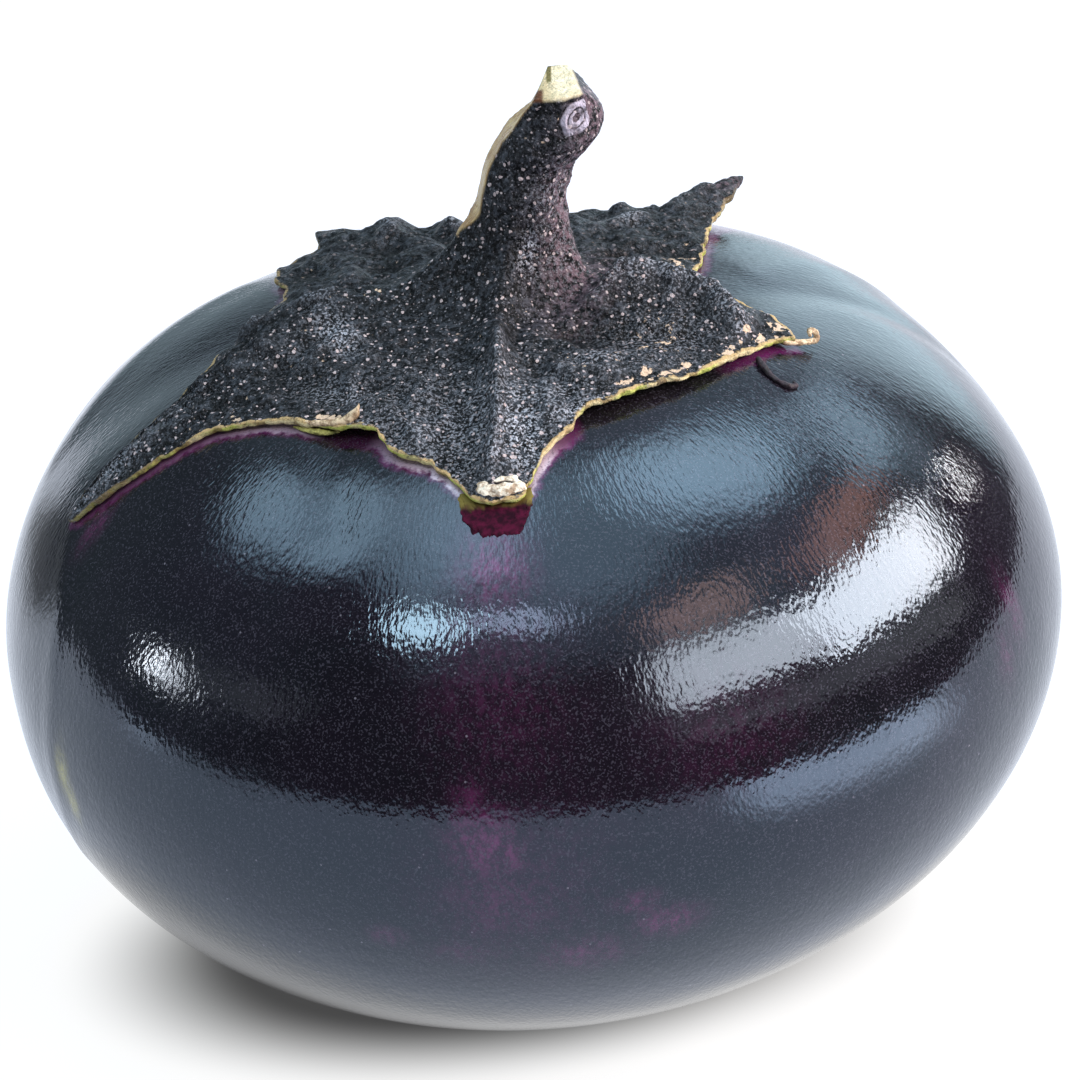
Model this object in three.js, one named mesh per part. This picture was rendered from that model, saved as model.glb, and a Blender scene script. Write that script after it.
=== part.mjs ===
// A squat, round eggplant as picked: the fruit, and its five-lobed calyx with the cut stem.
// Millimetres, +Z up. The origin is the middle of the flat spot that the fruit rests on.
// Azimuth is 0 at the front (-Y) and grows towards the right (+X). Polar angle is 0 at the stem.

import * as THREE from 'three';

// Fruit
const FRUIT_RADIUS = 60;
const FRUIT_HALF_HEIGHT = 42;
const FRUIT_LEAN = 5.8;
const FRUIT_CENTRE = [4.4, 0, 41.2];
const DIMPLE_DEPTH = 5;
const DIMPLE_RADIUS = 24;
const DIMPLE_END_COSINE = 0.4;
const FRUIT_SIDES = 72;
const FRUIT_RINGS = 25;
const SEARCH_ROUNDS = 40;

// Soft swellings (positive) and hollows (negative) of the skin: height in mm, angles in degrees.
// Each one is longer down the fruit than it is wide.
const SWELL_STRETCH = 2.2;
const SKIN_SWELLS = [
  { azimuth: -114, polar: 50, height: 1.6, spread: 18 },
  { azimuth: -92, polar: 44, height: -1.0, spread: 8 },
  { azimuth: -30, polar: 48, height: -0.6, spread: 9 },
  { azimuth: 8, polar: 62, height: 0.5, spread: 20 },
  { azimuth: 100, polar: 50, height: -1.0, spread: 15 },
  { azimuth: 128, polar: 46, height: 0.5, spread: 12 },
  { azimuth: -78, polar: 100, height: -0.5, spread: 11 },
  { azimuth: 180, polar: 60, height: 0.6, spread: 22 },
  { azimuth: 190, polar: 25, height: -1.2, spread: 13 },
];

// Calyx: its edge lies just above the skin, and thickens towards the stem and along the ribs
const SKIN_GAP = 0.32;
const EDGE_THICKNESS = 0.9;
const CROWN_THICKNESS = 1.4;
const CROWN_RADIUS = 8;
const CROWN_SPREAD = 13;
const BASE_POLAR = 10.5;
const CALYX_STEP = 2.3;
const TOP_SHARES = [0, 0.08, 0.2, 0.34, 0.48, 0.62, 0.76, 0.89, 1];
const UNDER_SHARES = [1, 0.9, 0.8, 0.7, 0.6, 0.5, 0.4, 0.27, 0.13];

// Shares of the way to the edge where the relief starts to thin out and the lobes start to lift
const RIM_START = 0.75;
const LIFT_START = 0.3;

// How far each foot point turns from even spacing towards its own edge point
const FOOT_TURN_SHARE = 0.5;

// One rib for each lobe, from the stem to the tip: width and height in mm, reach in degrees
const RIB_FADE_SHARE = 0.35;
const RIBS = [
  { azimuth: 0, height: 1.5, width: 2.1, reach: 38 },
  { azimuth: 72, height: 2.1, width: 3.4, reach: 33 },
  { azimuth: 134, height: 0.5, width: 4.0, reach: 30 },
  { azimuth: 216, height: 0.6, width: 4.5, reach: 30 },
  { azimuth: 281, height: 2.3, width: 3.6, reach: 44 },
];

// Edge of the calyx: azimuth and polar angle in degrees, and how far it lifts off the skin in mm
const CALYX_EDGE = [
  [-3.5, 39.0, 0], [3.4, 39.3, 0], [5.2, 36.8, 0], [8.5, 33.5, 0.2], [14.4, 30.7, 0.5],
  [22.5, 28.5, 1.0], [32.3, 28.3, 1.0], [44.6, 29.2, 0.7], [59.8, 30.2, 0.3], [69.5, 32.4, 0.3],
  [75.7, 36.2, 0.4], [76.6, 32.2, 0.3], [83.5, 26.0, 0.1], [92.8, 21.2, 0],
  [109, 23.3, 0], [119, 26.0, 0.1], [127, 29.5, 0.4], [134, 36.5, 2.4], [138.5, 43.6, 5.4],
  [139.6, 45.6, 6.4], [140.2, 43.4, 5.0], [143, 36.0, 1.7], [150, 30.5, 0.3],
  [160, 27.2, 0.2], [172, 25.0, 0],
  [185, 26.0, 0], [198, 29.0, 0.2], [210, 33.4, 1.0], [218, 35.0, 2.2], [220.5, 32.4, 1.5],
  [224.5, 30.2, 0.6], [230, 30.6, 0.1], [236, 29.8, 0], [243, 27.3, 0], [254, 24.3, 0],
  [270, 28.8, 0], [277, 32.8, 0], [282.7, 37.0, 0], [285, 42.5, 0], [286, 49.5, 0],
  [287, 57.0, 0], [291.5, 49.4, 0], [295.1, 42.8, 0], [299.6, 36.6, 0.1], [309, 32.2, 0.3],
  [323.3, 30.3, 0.6], [332.9, 30.0, 1.3], [341.2, 32.9, 0.5], [349.4, 34.4, 0.1], [353.8, 37.4, 0],
];

// Stem, in the fruit's frame: it rises from the dimple and bends away from the fruit's axis
const STEM_RADIUS = 5.0;
const FLARE_HEIGHT = 3.0;
const STEM_RIB_SHARE = 0.35;
const STEM_RIB_HEIGHT = 5;
const STEM_SPINE = [
  [0.0, 0, 36], [1.4, 0, 40], [2.9, 0, 46.3], [4.8, 0.2, 54], [7.4, 0.3, 59.5], [9.0, 0.4, 65],
];
const STEM_RINGS = 15;
const STEM_RING_CROWDING = 1.3;

// Level of the stem's cut end
const CUT_LEVEL = 63.2;

// Knob with the scar at the head of the stem, and the shoulder that rounds off above it
const KNOB = { azimuth: 68, level: 57.9, height: 2.0, spread: 2.5, width: 4.0 };
const SHOULDER = { azimuth: 80, offset: 7.0, start: 58.2, endOffset: 3.0 };

// Bark torn off the left side of the stem, and the slanted cut that takes its top left corner
const PEEL = { azimuth: -84, offset: 4.7, start: 47, fade: 3, depth: 2 };
const SLANT = { start: 59.2, endOffset: 1.0 };

const radians = THREE.MathUtils.degToRad;
const smooth = (value, from, to) => THREE.MathUtils.smoothstep(value, from, to);
const gauss = (distance, spread) => Math.exp(-((distance / spread) ** 2));

// Shortest way round from one azimuth to another, both in radians
function turnBetween(from, to) {
  return Math.atan2(Math.sin(to - from), Math.cos(to - from));
}

// Sum of the swellings at a place on the skin, in mm
function swellAt(polar, azimuth) {
  let sum = 0;
  for (const swell of SKIN_SWELLS) {
    const across = turnBetween(radians(swell.azimuth), azimuth) * Math.sin(radians(swell.polar));
    const along = polar - radians(swell.polar);
    const spread = radians(swell.spread);
    sum += swell.height * gauss(across, spread) * gauss(along, SWELL_STRETCH * spread);
  }
  return sum;
}

// A point of the skin in the fruit's own frame, whose Z axis runs from its centre to the stem
function skinPoint(polar, azimuth) {
  const scale = 1 + swellAt(polar, azimuth) / FRUIT_RADIUS;
  const radius = FRUIT_RADIUS * Math.sin(polar) * scale;
  const upper = smooth(Math.cos(polar), 0, DIMPLE_END_COSINE);
  const dimple = DIMPLE_DEPTH * gauss(radius, DIMPLE_RADIUS) * upper;
  const height = FRUIT_HALF_HEIGHT * Math.cos(polar) * scale - dimple;
  return new THREE.Vector3(radius * Math.sin(azimuth), -radius * Math.cos(azimuth), height);
}

// Outward normal of the skin, from two short steps along it
function skinNormal(polar, azimuth) {
  const step = 1e-3;
  const safePolar = Math.max(polar, 2 * step);
  const here = skinPoint(safePolar, azimuth);
  const outwards = skinPoint(safePolar + step, azimuth).sub(here);
  const around = skinPoint(safePolar, azimuth + step).sub(here);
  return outwards.cross(around).normalize();
}

// The fruit's frame in the part: leaned towards the left and lifted onto its rest spot
const fruitFrame = new THREE.Matrix4()
  .makeRotationY(radians(-FRUIT_LEAN))
  .setPosition(...FRUIT_CENTRE);
const partToFruit = fruitFrame.clone().invert();

// Closed solid through rings of equal length, with a single point at each end
function ringSolid(startPoint, rings, endPoint) {
  const sides = rings[0].length;
  const positions = [startPoint, ...rings.flat(), endPoint].flatMap((p) => [p.x, p.y, p.z]);
  const index = [];
  const vertex = (ring, side) => 1 + ring * sides + (side % sides);
  const last = 1 + rings.length * sides;
  for (let side = 0; side < sides; side++) {
    index.push(0, vertex(0, side), vertex(0, side + 1));
    index.push(last, vertex(rings.length - 1, side + 1), vertex(rings.length - 1, side));
    for (let ring = 0; ring < rings.length - 1; ring++) {
      const a = vertex(ring, side);
      const b = vertex(ring, side + 1);
      const c = vertex(ring + 1, side);
      const d = vertex(ring + 1, side + 1);
      index.push(a, c, b);
      index.push(b, c, d);
    }
  }
  const geometry = new THREE.BufferGeometry();
  geometry.setAttribute('position', new THREE.Float32BufferAttribute(positions, 3));
  geometry.setIndex(index);
  geometry.computeVertexNormals();
  return geometry;
}

// Polar angle at which the skin comes down to the rest plane, on one azimuth
function restPolar(azimuth) {
  let above = Math.PI / 2;
  let below = Math.PI;
  for (let round = 0; round < SEARCH_ROUNDS; round++) {
    const middle = (above + below) / 2;
    const level = skinPoint(middle, azimuth).applyMatrix4(fruitFrame).z;
    if (level > 0) above = middle;
    else below = middle;
  }
  return (above + below) / 2;
}

// Fruit: rings of skin from the stem end down to the outline of the flat rest spot
function makeFruit() {
  const rings = [];
  for (let ring = 1; ring <= FRUIT_RINGS; ring++) {
    const points = [];
    for (let side = 0; side < FRUIT_SIDES; side++) {
      const azimuth = (2 * Math.PI * side) / FRUIT_SIDES;
      const polar = (restPolar(azimuth) * ring) / FRUIT_RINGS;
      const point = skinPoint(polar, azimuth);
      if (ring === FRUIT_RINGS) point.applyMatrix4(fruitFrame).setZ(0).applyMatrix4(partToFruit);
      points.push(point);
    }
    rings.push(points);
  }
  const restMiddle = new THREE.Vector3(0, 0, 0).applyMatrix4(partToFruit);
  return ringSolid(skinPoint(0, 0), rings, restMiddle);
}

// Places of the calyx on a flat map: distance from the middle is the polar angle in radians
function toMap(azimuth, polar, lift) {
  return new THREE.Vector3(polar * Math.sin(azimuth), -polar * Math.cos(azimuth), lift);
}

// Edge of the calyx on the map: a smooth closed curve that passes through every given point
function calyxEdge() {
  const corners = CALYX_EDGE.map(([azimuth, polar, lift]) =>
    toMap(radians(azimuth), radians(polar), lift));
  const curve = new THREE.CatmullRomCurve3(corners, true, 'centripetal');
  const points = [];
  corners.forEach((corner, number) => {
    const next = corners[(number + 1) % corners.length];
    const length = Math.hypot(next.x - corner.x, next.y - corner.y) * FRUIT_RADIUS;
    const steps = Math.max(1, Math.round(length / CALYX_STEP));
    for (let step = 0; step < steps; step++) {
      points.push(curve.getPoint((number + step / steps) / corners.length));
    }
  });
  return points;
}

// Height of the ribs above the calyx at a place on the skin
function ribHeight(polar, azimuth) {
  let sum = 0;
  for (const rib of RIBS) {
    const turn = turnBetween(radians(rib.azimuth), azimuth);
    if (Math.abs(turn) > Math.PI / 2) continue;
    const across = Math.sin(turn) * Math.sin(polar) * FRUIT_RADIUS;
    const reach = 1 - smooth(polar, radians(RIB_FADE_SHARE * rib.reach), radians(rib.reach));
    sum += rib.height * gauss(across, rib.width) * reach;
  }
  return sum;
}

// A point of the calyx: a share of the way from the stem's foot to the edge, on either face
function calyxPoint(foot, edge, share, isTop) {
  const place = foot.clone().lerp(edge, share);
  const polar = Math.hypot(place.x, place.y);
  const azimuth = Math.atan2(place.x, -place.y);
  const crown = CROWN_THICKNESS * gauss(polar * FRUIT_RADIUS - CROWN_RADIUS, CROWN_SPREAD);
  const relief = (crown + ribHeight(polar, azimuth)) * (1 - smooth(share, RIM_START, 1));
  const height = SKIN_GAP + (isTop ? EDGE_THICKNESS + relief : 0);
  const point = skinPoint(polar, azimuth).addScaledVector(skinNormal(polar, azimuth), height);
  point.z += edge.z * smooth(share, LIFT_START, 1);
  return point;
}

// Middle of the stem at a level of the fruit's frame
const stemSpine = new THREE.CatmullRomCurve3(STEM_SPINE.map((p) => new THREE.Vector3(...p)));
function stemMiddle(level) {
  let below = 0;
  let above = 1;
  for (let round = 0; round < SEARCH_ROUNDS; round++) {
    const middle = (below + above) / 2;
    if (stemSpine.getPoint(middle).z < level) below = middle;
    else above = middle;
  }
  return stemSpine.getPoint((below + above) / 2);
}

// Pull an offset from the stem's middle back to a flat face that looks along an azimuth
function trimOffset(offset, azimuth, limit) {
  const outwards = new THREE.Vector2(Math.sin(azimuth), -Math.cos(azimuth));
  const beyond = offset.dot(outwards) - limit;
  if (beyond > 0) offset.addScaledVector(outwards, -beyond);
}

// A point of the stem above a point of its foot, with the flare, the knob and the cut faces
function stemPoint(base, share) {
  const foot = base.clone().sub(stemMiddle(base.z));
  const azimuth = Math.atan2(foot.x, -foot.y);
  const footRadius = Math.hypot(foot.x, foot.y);
  const level = THREE.MathUtils.lerp(base.z, CUT_LEVEL, share);
  const rise = level - base.z;
  const flare = (footRadius - STEM_RADIUS) * Math.exp(-rise / FLARE_HEIGHT);
  const ribFade = Math.exp(-rise / STEM_RIB_HEIGHT) * smooth(rise, 0, 2);
  const ribs = STEM_RIB_SHARE * ribHeight(radians(BASE_POLAR), azimuth) * ribFade;
  const knobAcross = 2 * STEM_RADIUS * Math.sin(turnBetween(radians(KNOB.azimuth), azimuth) / 2);
  const knobFade = gauss(knobAcross, KNOB.width) * gauss(level - KNOB.level, KNOB.spread);
  const radius = STEM_RADIUS + flare + ribs + KNOB.height * knobFade;
  const offset = new THREE.Vector2(Math.sin(azimuth), -Math.cos(azimuth)).multiplyScalar(radius);

  const barkLeft = PEEL.depth * (1 - smooth(level, PEEL.start, PEEL.start + PEEL.fade));
  const slantShare = Math.max(0, (level - SLANT.start) / (CUT_LEVEL - SLANT.start));
  const slant = (PEEL.offset - SLANT.endOffset) * slantShare;
  if (level > PEEL.start) trimOffset(offset, radians(PEEL.azimuth), PEEL.offset + barkLeft - slant);

  const shoulderShare = Math.max(0, (level - SHOULDER.start) / (CUT_LEVEL - SHOULDER.start));
  const shoulder = (SHOULDER.offset - SHOULDER.endOffset) * shoulderShare ** 2;
  if (shoulderShare > 0) trimOffset(offset, radians(SHOULDER.azimuth), SHOULDER.offset - shoulder);

  const middle = stemMiddle(level);
  return new THREE.Vector3(middle.x + offset.x, middle.y + offset.y, level);
}

// Calyx and stem as one body: down the stem, out over the calyx, round its edge and back below
function makeCalyxAndStem() {
  const edge = calyxEdge();
  const firstAzimuth = radians(CALYX_EDGE[0][0]);
  const feet = edge.map((point, number) => {
    const even = firstAzimuth + (2 * Math.PI * number) / edge.length;
    const own = Math.atan2(point.x, -point.y);
    const azimuth = even + FOOT_TURN_SHARE * turnBetween(even, own);
    return toMap(azimuth, radians(BASE_POLAR), 0);
  });
  const ringAt = (share, isTop) =>
    feet.map((foot, number) => calyxPoint(foot, edge[number], share, isTop));
  const footRing = ringAt(0, true);
  const rings = [];
  for (let ring = STEM_RINGS; ring > 0; ring--) {
    const share = (ring / STEM_RINGS) ** STEM_RING_CROWDING;
    rings.push(footRing.map((base) => stemPoint(base, share)));
  }
  for (const share of TOP_SHARES) rings.push(ringAt(share, true));
  for (const share of UNDER_SHARES) rings.push(ringAt(share, false));
  const cutMiddle = rings[0].reduce((sum, point) => sum.add(point), new THREE.Vector3());
  cutMiddle.divideScalar(rings[0].length);
  const underMiddle = skinPoint(0, 0).add(new THREE.Vector3(0, 0, SKIN_GAP));
  return ringSolid(cutMiddle, rings, underMiddle);
}

function namedMesh(name, geometry, colour, roughness) {
  const material = new THREE.MeshStandardMaterial({ color: colour, roughness, metalness: 0 });
  const mesh = new THREE.Mesh(geometry, material);
  mesh.name = name;
  return mesh;
}

const eggplant = new THREE.Group();
eggplant.position.set(...FRUIT_CENTRE);
eggplant.rotation.y = radians(-FRUIT_LEAN);
eggplant.add(namedMesh('fruit', makeFruit(), 0x1b1622, 0.18));
eggplant.add(namedMesh('calyx_and_stem', makeCalyxAndStem(), 0x2b2d33, 0.7));

export default eggplant;
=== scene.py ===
"""Looks of a squat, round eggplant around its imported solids. Shapes are worked out in millimetres."""

import math

import bpy
import numpy as np
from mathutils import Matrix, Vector


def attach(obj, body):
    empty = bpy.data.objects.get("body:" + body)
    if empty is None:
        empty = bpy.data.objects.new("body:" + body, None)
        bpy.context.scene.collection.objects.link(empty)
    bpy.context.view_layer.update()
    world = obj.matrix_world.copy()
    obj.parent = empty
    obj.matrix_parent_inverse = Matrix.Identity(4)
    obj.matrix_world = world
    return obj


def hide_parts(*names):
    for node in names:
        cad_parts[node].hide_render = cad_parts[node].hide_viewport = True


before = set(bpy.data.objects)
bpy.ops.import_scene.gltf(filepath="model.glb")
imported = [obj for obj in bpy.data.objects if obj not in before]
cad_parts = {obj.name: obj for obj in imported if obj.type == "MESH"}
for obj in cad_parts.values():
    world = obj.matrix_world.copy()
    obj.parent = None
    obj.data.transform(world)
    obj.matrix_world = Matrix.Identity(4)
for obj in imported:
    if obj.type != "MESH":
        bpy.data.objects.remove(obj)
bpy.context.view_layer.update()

MM = 0.001

# The fruit, as in the part's source: lengths in millimetres, angles in degrees
FRUIT_RADIUS = 60
FRUIT_HALF_HEIGHT = 42
FRUIT_LEAN = 5.8
FRUIT_CENTRE = np.array([4.4, 0, 41.2])
DIMPLE_DEPTH = 5
DIMPLE_RADIUS = 24
DIMPLE_END_COSINE = 0.4
SWELL_STRETCH = 2.2
# Each swelling: azimuth, polar angle, height, spread
SKIN_SWELLS = [
    (-114, 50, 1.6, 18), (-92, 44, -1.0, 8), (-30, 48, -0.6, 9), (8, 62, 0.5, 20),
    (100, 50, -1.0, 15), (128, 46, 0.5, 12), (-78, 100, -0.5, 11), (180, 60, 0.6, 22),
    (190, 25, -1.2, 13),
]
SKIN_SIDES = 400
SKIN_RINGS = 246
SEARCH_ROUNDS = 40
NORMAL_STEP = 1e-3

# The calyx
SKIN_GAP = 0.32
EDGE_THICKNESS = 0.9
CROWN_THICKNESS = 1.4
CROWN_RADIUS = 8
CROWN_SPREAD = 13
BASE_POLAR = 10.5
EDGE_STEP = 0.46
RIM_START = 0.75
LIFT_START = 0.3
FOOT_TURN_SHARE = 0.5
RIB_FADE_SHARE = 0.35
# Each rib: azimuth, height, width, reach
RIBS = [
    (0, 1.5, 2.1, 38), (72, 2.1, 3.4, 33), (134, 0.5, 4.0, 30), (216, 0.6, 4.5, 30), (281, 2.3, 3.6, 44),
]
# Edge of the calyx: azimuth, polar angle, lift
CALYX_EDGE = [
    (-3.5, 39.0, 0), (3.4, 39.3, 0), (5.2, 36.8, 0), (8.5, 33.5, 0.2), (14.4, 30.7, 0.5),
    (22.5, 28.5, 1.0), (32.3, 28.3, 1.0), (44.6, 29.2, 0.7), (59.8, 30.2, 0.3), (67.5, 31.8, 0.3),
    (71.8, 34.2, 0.5), (76.2, 31.4, 0.4), (83.5, 26.0, 0.1), (92.8, 21.2, 0),
    (109, 23.3, 0), (119, 26.0, 0.1), (127, 29.5, 0.4), (134, 36.5, 2.4), (138.5, 43.6, 5.4),
    (139.6, 45.6, 6.4), (140.2, 43.4, 5.0), (143, 36.0, 1.7), (150, 30.5, 0.3),
    (160, 27.2, 0.2), (172, 25.0, 0),
    (185, 26.0, 0), (198, 29.0, 0.2), (210, 33.4, 1.0), (218, 35.0, 2.2), (220.5, 32.4, 1.5),
    (224.5, 30.2, 0.6), (230, 30.6, 0.1), (236, 29.8, 0), (243, 27.3, 0), (254, 24.3, 0),
    (270, 28.8, 0), (277, 32.8, 0), (282.7, 37.0, 0), (285, 42.5, 0), (286, 49.5, 0),
    (287, 57.0, 0), (291.5, 49.4, 0), (295.1, 42.8, 0), (299.6, 36.6, 0.1), (309, 32.2, 0.3),
    (323.3, 30.3, 0.6), (332.9, 30.0, 1.3), (341.2, 32.9, 0.5), (349.4, 34.4, 0.1), (353.8, 37.4, 0),
]

# The stem
STEM_RADIUS = 5.0
FLARE_HEIGHT = 3.0
STEM_RIB_SHARE = 0.35
STEM_RIB_HEIGHT = 5
STEM_SPINE = [(0, 0, 36), (1.4, 0, 40), (2.9, 0, 46.3), (4.8, 0.2, 54), (7.4, 0.3, 59.5), (9.0, 0.4, 65)]
KNOB = {"azimuth": 68, "level": 57.9, "height": 2.0, "spread": 2.5, "width": 4.0}
TOP_LEVEL = 63.2
SHOULDER = {"azimuth": 98, "offset": 7.0, "start": 58.2, "end_offset": 2.5, "power": 1.5}
PEEL = {"start": 47, "fade": 3, "depth": 2, "edge": (-0.25, 0.05)}
# Flat face where the bark was peeled off: level, azimuth it looks to, offset from the stem's middle
PEEL_FACES = [
    (47, -86, 4.7), (55, -88, 4.5), (58, -97, 3.85), (60, -108, 2.2), (61.5, -106, 1.7),
    (63.2, -99, 1.2),
]
STEM_RINGS = 62
TOP_RINGS = 72
WALL_STEPS = 4
UNDER_RINGS = 9


def gauss(distance, spread):
    return np.exp(-((distance / spread) ** 2))


def side_by_side(*parts):
    return np.stack(parts, axis=-1)


def smooth(value, start, end):
    share = np.clip((value - start) / (end - start), 0, 1)
    return share * share * (3 - 2 * share)


def turn_between(start, end):
    return np.arctan2(np.sin(end - start), np.cos(end - start))


def degrees_from(centre, azimuth):
    """Turn in degrees from a centre in degrees to azimuths in radians."""
    return np.degrees(turn_between(np.radians(centre), azimuth))


def unit(vectors):
    """Vectors of length 1 in the same directions."""
    return vectors / np.linalg.norm(vectors, axis=-1, keepdims=True)


LATTICE_SIZE = 256
NOISE_GAIN = 1.6


def lattice_noise(points, seed):
    """Smooth random values, about -1 to 1, with one bump or so to each unit of length."""
    table = np.random.default_rng(seed).permutation(LATTICE_SIZE)
    slopes = unit(np.random.default_rng(seed + 1).normal(size=(LATTICE_SIZE, 3)))
    cell = np.floor(points).astype(int)
    offset = points - cell
    fade = offset ** 3 * (offset * (offset * 6 - 15) + 10)
    total = np.zeros(points.shape[:-1])
    for corner in np.ndindex(2, 2, 2):
        place = (cell + corner) % LATTICE_SIZE
        key = table[place[..., 0]]
        key = table[(key + place[..., 1]) % LATTICE_SIZE]
        key = table[(key + place[..., 2]) % LATTICE_SIZE]
        slope = np.sum(slopes[key] * (offset - corner), axis=-1)
        weights = np.where(corner, fade, 1 - fade)
        total += slope * np.prod(weights, axis=-1)
    return total * NOISE_GAIN


def swell_at(polar, azimuth):
    total = 0
    for centre, middle, height, spread in SKIN_SWELLS:
        across = turn_between(np.radians(centre), azimuth) * np.sin(np.radians(middle))
        along = polar - np.radians(middle)
        reach = np.radians(spread)
        total = total + height * gauss(across, reach) * gauss(along, SWELL_STRETCH * reach)
    return total


def skin_point(polar, azimuth):
    """Skin in the fruit's own frame, whose Z axis runs from its centre to the stem."""
    scale = 1 + swell_at(polar, azimuth) / FRUIT_RADIUS
    radius = FRUIT_RADIUS * np.sin(polar) * scale
    dimple = DIMPLE_DEPTH * gauss(radius, DIMPLE_RADIUS) * smooth(np.cos(polar), 0, DIMPLE_END_COSINE)
    height = FRUIT_HALF_HEIGHT * np.cos(polar) * scale - dimple
    return side_by_side(radius * np.sin(azimuth), -radius * np.cos(azimuth), height)


def skin_normal(polar, azimuth):
    safe = np.maximum(polar, 2 * NORMAL_STEP)
    here = skin_point(safe, azimuth)
    outwards = skin_point(safe + NORMAL_STEP, azimuth) - here
    around = skin_point(safe, azimuth + NORMAL_STEP) - here
    return unit(np.cross(outwards, around))


def above_skin(polar, azimuth, height):
    """Points at a height in mm over the skin, in the fruit's own frame."""
    return skin_point(polar, azimuth) + skin_normal(polar, azimuth) * height[..., None]


lean = math.radians(FRUIT_LEAN)
FRUIT_AXES = np.array([
    [math.cos(lean), 0, math.sin(lean)],
    [0, 1, 0],
    [-math.sin(lean), 0, math.cos(lean)],
])


def to_part(points):
    """From the fruit's own frame to the part's frame, both in millimetres."""
    return points @ FRUIT_AXES + FRUIT_CENTRE


def add_to_scene(name, data):
    made = bpy.data.objects.new(name, data)
    bpy.context.scene.collection.objects.link(made)
    return made


def make_mesh(name, points, faces, material, attributes):
    """Mesh object from points in the part's frame, with smooth shading and values at its points."""
    mesh = bpy.data.meshes.new(name)
    mesh.from_pydata((points * MM).tolist(), [], faces)
    for key, values in attributes.items():
        is_vector = values.ndim == 2
        attribute = mesh.attributes.new(key, "FLOAT_VECTOR" if is_vector else "FLOAT", "POINT")
        attribute.data.foreach_set("vector" if is_vector else "value", values.astype(np.float32).ravel())
    mesh.shade_smooth()
    mesh.materials.append(material)
    mesh.update()
    return add_to_scene(name, mesh)


def with_ends(values):
    """Values of rings of points, and those of the single points before and after them."""
    flat = values.reshape(-1, *values.shape[2:])
    return np.concatenate([flat[:1], flat, flat[-1:]])


def ring_faces(ring_count, sides):
    """Faces of a closed body: the first point, rings of equal length, and the last point."""
    last = 1 + ring_count * sides
    faces = []
    for side in range(sides):
        after = (side + 1) % sides
        faces.append((0, 1 + side, 1 + after))
        base = last - sides
        faces.append((last, base + after, base + side))
    for ring in range(ring_count - 1):
        near = 1 + ring * sides
        far = near + sides
        for side in range(sides):
            after = (side + 1) % sides
            faces.append((near + side, far + side, far + after, near + after))
    return faces


def catmull_rom(before, start, end, after, share):
    """Centripetal curve from start to end, at a share of the way."""
    def interval(a, b):
        return max(np.sum((a - b) ** 2) ** 0.25, 1e-4)
    first, middle, last = interval(before, start), interval(start, end), interval(end, after)
    out = (start - before) / first - (end - before) / (first + middle) + (end - start) / middle
    back = (end - start) / middle - (after - start) / (middle + last) + (after - end) / last
    out = out * middle
    back = back * middle
    square = -3 * start + 3 * end - 2 * out - back
    cube = 2 * start - 2 * end + out + back
    share = np.asarray(share)[:, None]
    return start + out * share + square * share ** 2 + cube * share ** 3


def to_map(azimuth, polar, lift):
    """Place on a flat map, where the distance from the middle is the polar angle in radians."""
    return side_by_side(polar * np.sin(azimuth), -polar * np.cos(azimuth), lift + 0 * polar)


def calyx_edge():
    corners = np.array([to_map(math.radians(a), math.radians(p), lift) for a, p, lift in CALYX_EDGE])
    count = len(corners)
    runs = []
    for number in range(count):
        before, start, end, after = (corners[(number + k) % count] for k in (-1, 0, 1, 2))
        length = np.linalg.norm((end - start)[:2]) * FRUIT_RADIUS
        steps = max(1, round(length / EDGE_STEP))
        runs.append(catmull_rom(before, start, end, after, np.arange(steps) / steps))
    return np.concatenate(runs)


def rib_height(polar, azimuth):
    total = 0
    for centre, height, width, reach in RIBS:
        turn = turn_between(np.radians(centre), azimuth)
        across = np.sin(turn) * np.sin(polar) * FRUIT_RADIUS
        fade = 1 - smooth(polar, np.radians(RIB_FADE_SHARE * reach), np.radians(reach))
        total = total + np.where(np.abs(turn) > np.pi / 2, 0, height * gauss(across, width) * fade)
    return total


def rest_polar(azimuth):
    """Polar angle where the skin comes down to the rest plane."""
    above = np.full_like(azimuth, np.pi / 2)
    below = np.full_like(azimuth, np.pi)
    for _ in range(SEARCH_ROUNDS):
        middle = (above + below) / 2
        level = to_part(skin_point(middle, azimuth))[..., 2]
        above = np.where(level > 0, middle, above)
        below = np.where(level > 0, below, middle)
    return (above + below) / 2


def part_polar(point):
    return np.hypot(point[..., 0], point[..., 1])


def part_azimuth(point):
    return np.arctan2(point[..., 0], -point[..., 1])


def map_place(azimuth, polar):
    """Place on the calyx's flat map in millimetres, from angles in degrees."""
    return to_map(math.radians(azimuth), math.radians(polar), 0.0)[:2] * FRUIT_RADIUS


def closed_length(points):
    """Length along a closed line up to each of its points, in the points' own unit."""
    steps = np.linalg.norm(np.roll(points, -1, axis=0) - points, axis=1)
    return np.concatenate([[0], np.cumsum(steps)[:-1]])


def around_loop(along, length):
    """Places on a circle of that length, so that noise closes on itself."""
    turn = 2 * np.pi * along / length
    ring = length / (2 * np.pi)
    return side_by_side(ring * np.sin(turn), ring * np.cos(turn), 0 * turn)


# Raggedness of the calyx's edge: size and wavelength in mm, seed
EDGE_WAVES = [(0.30, 6.0, 11), (0.34, 2.6, 12), (0.30, 1.2, 13)]


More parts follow.
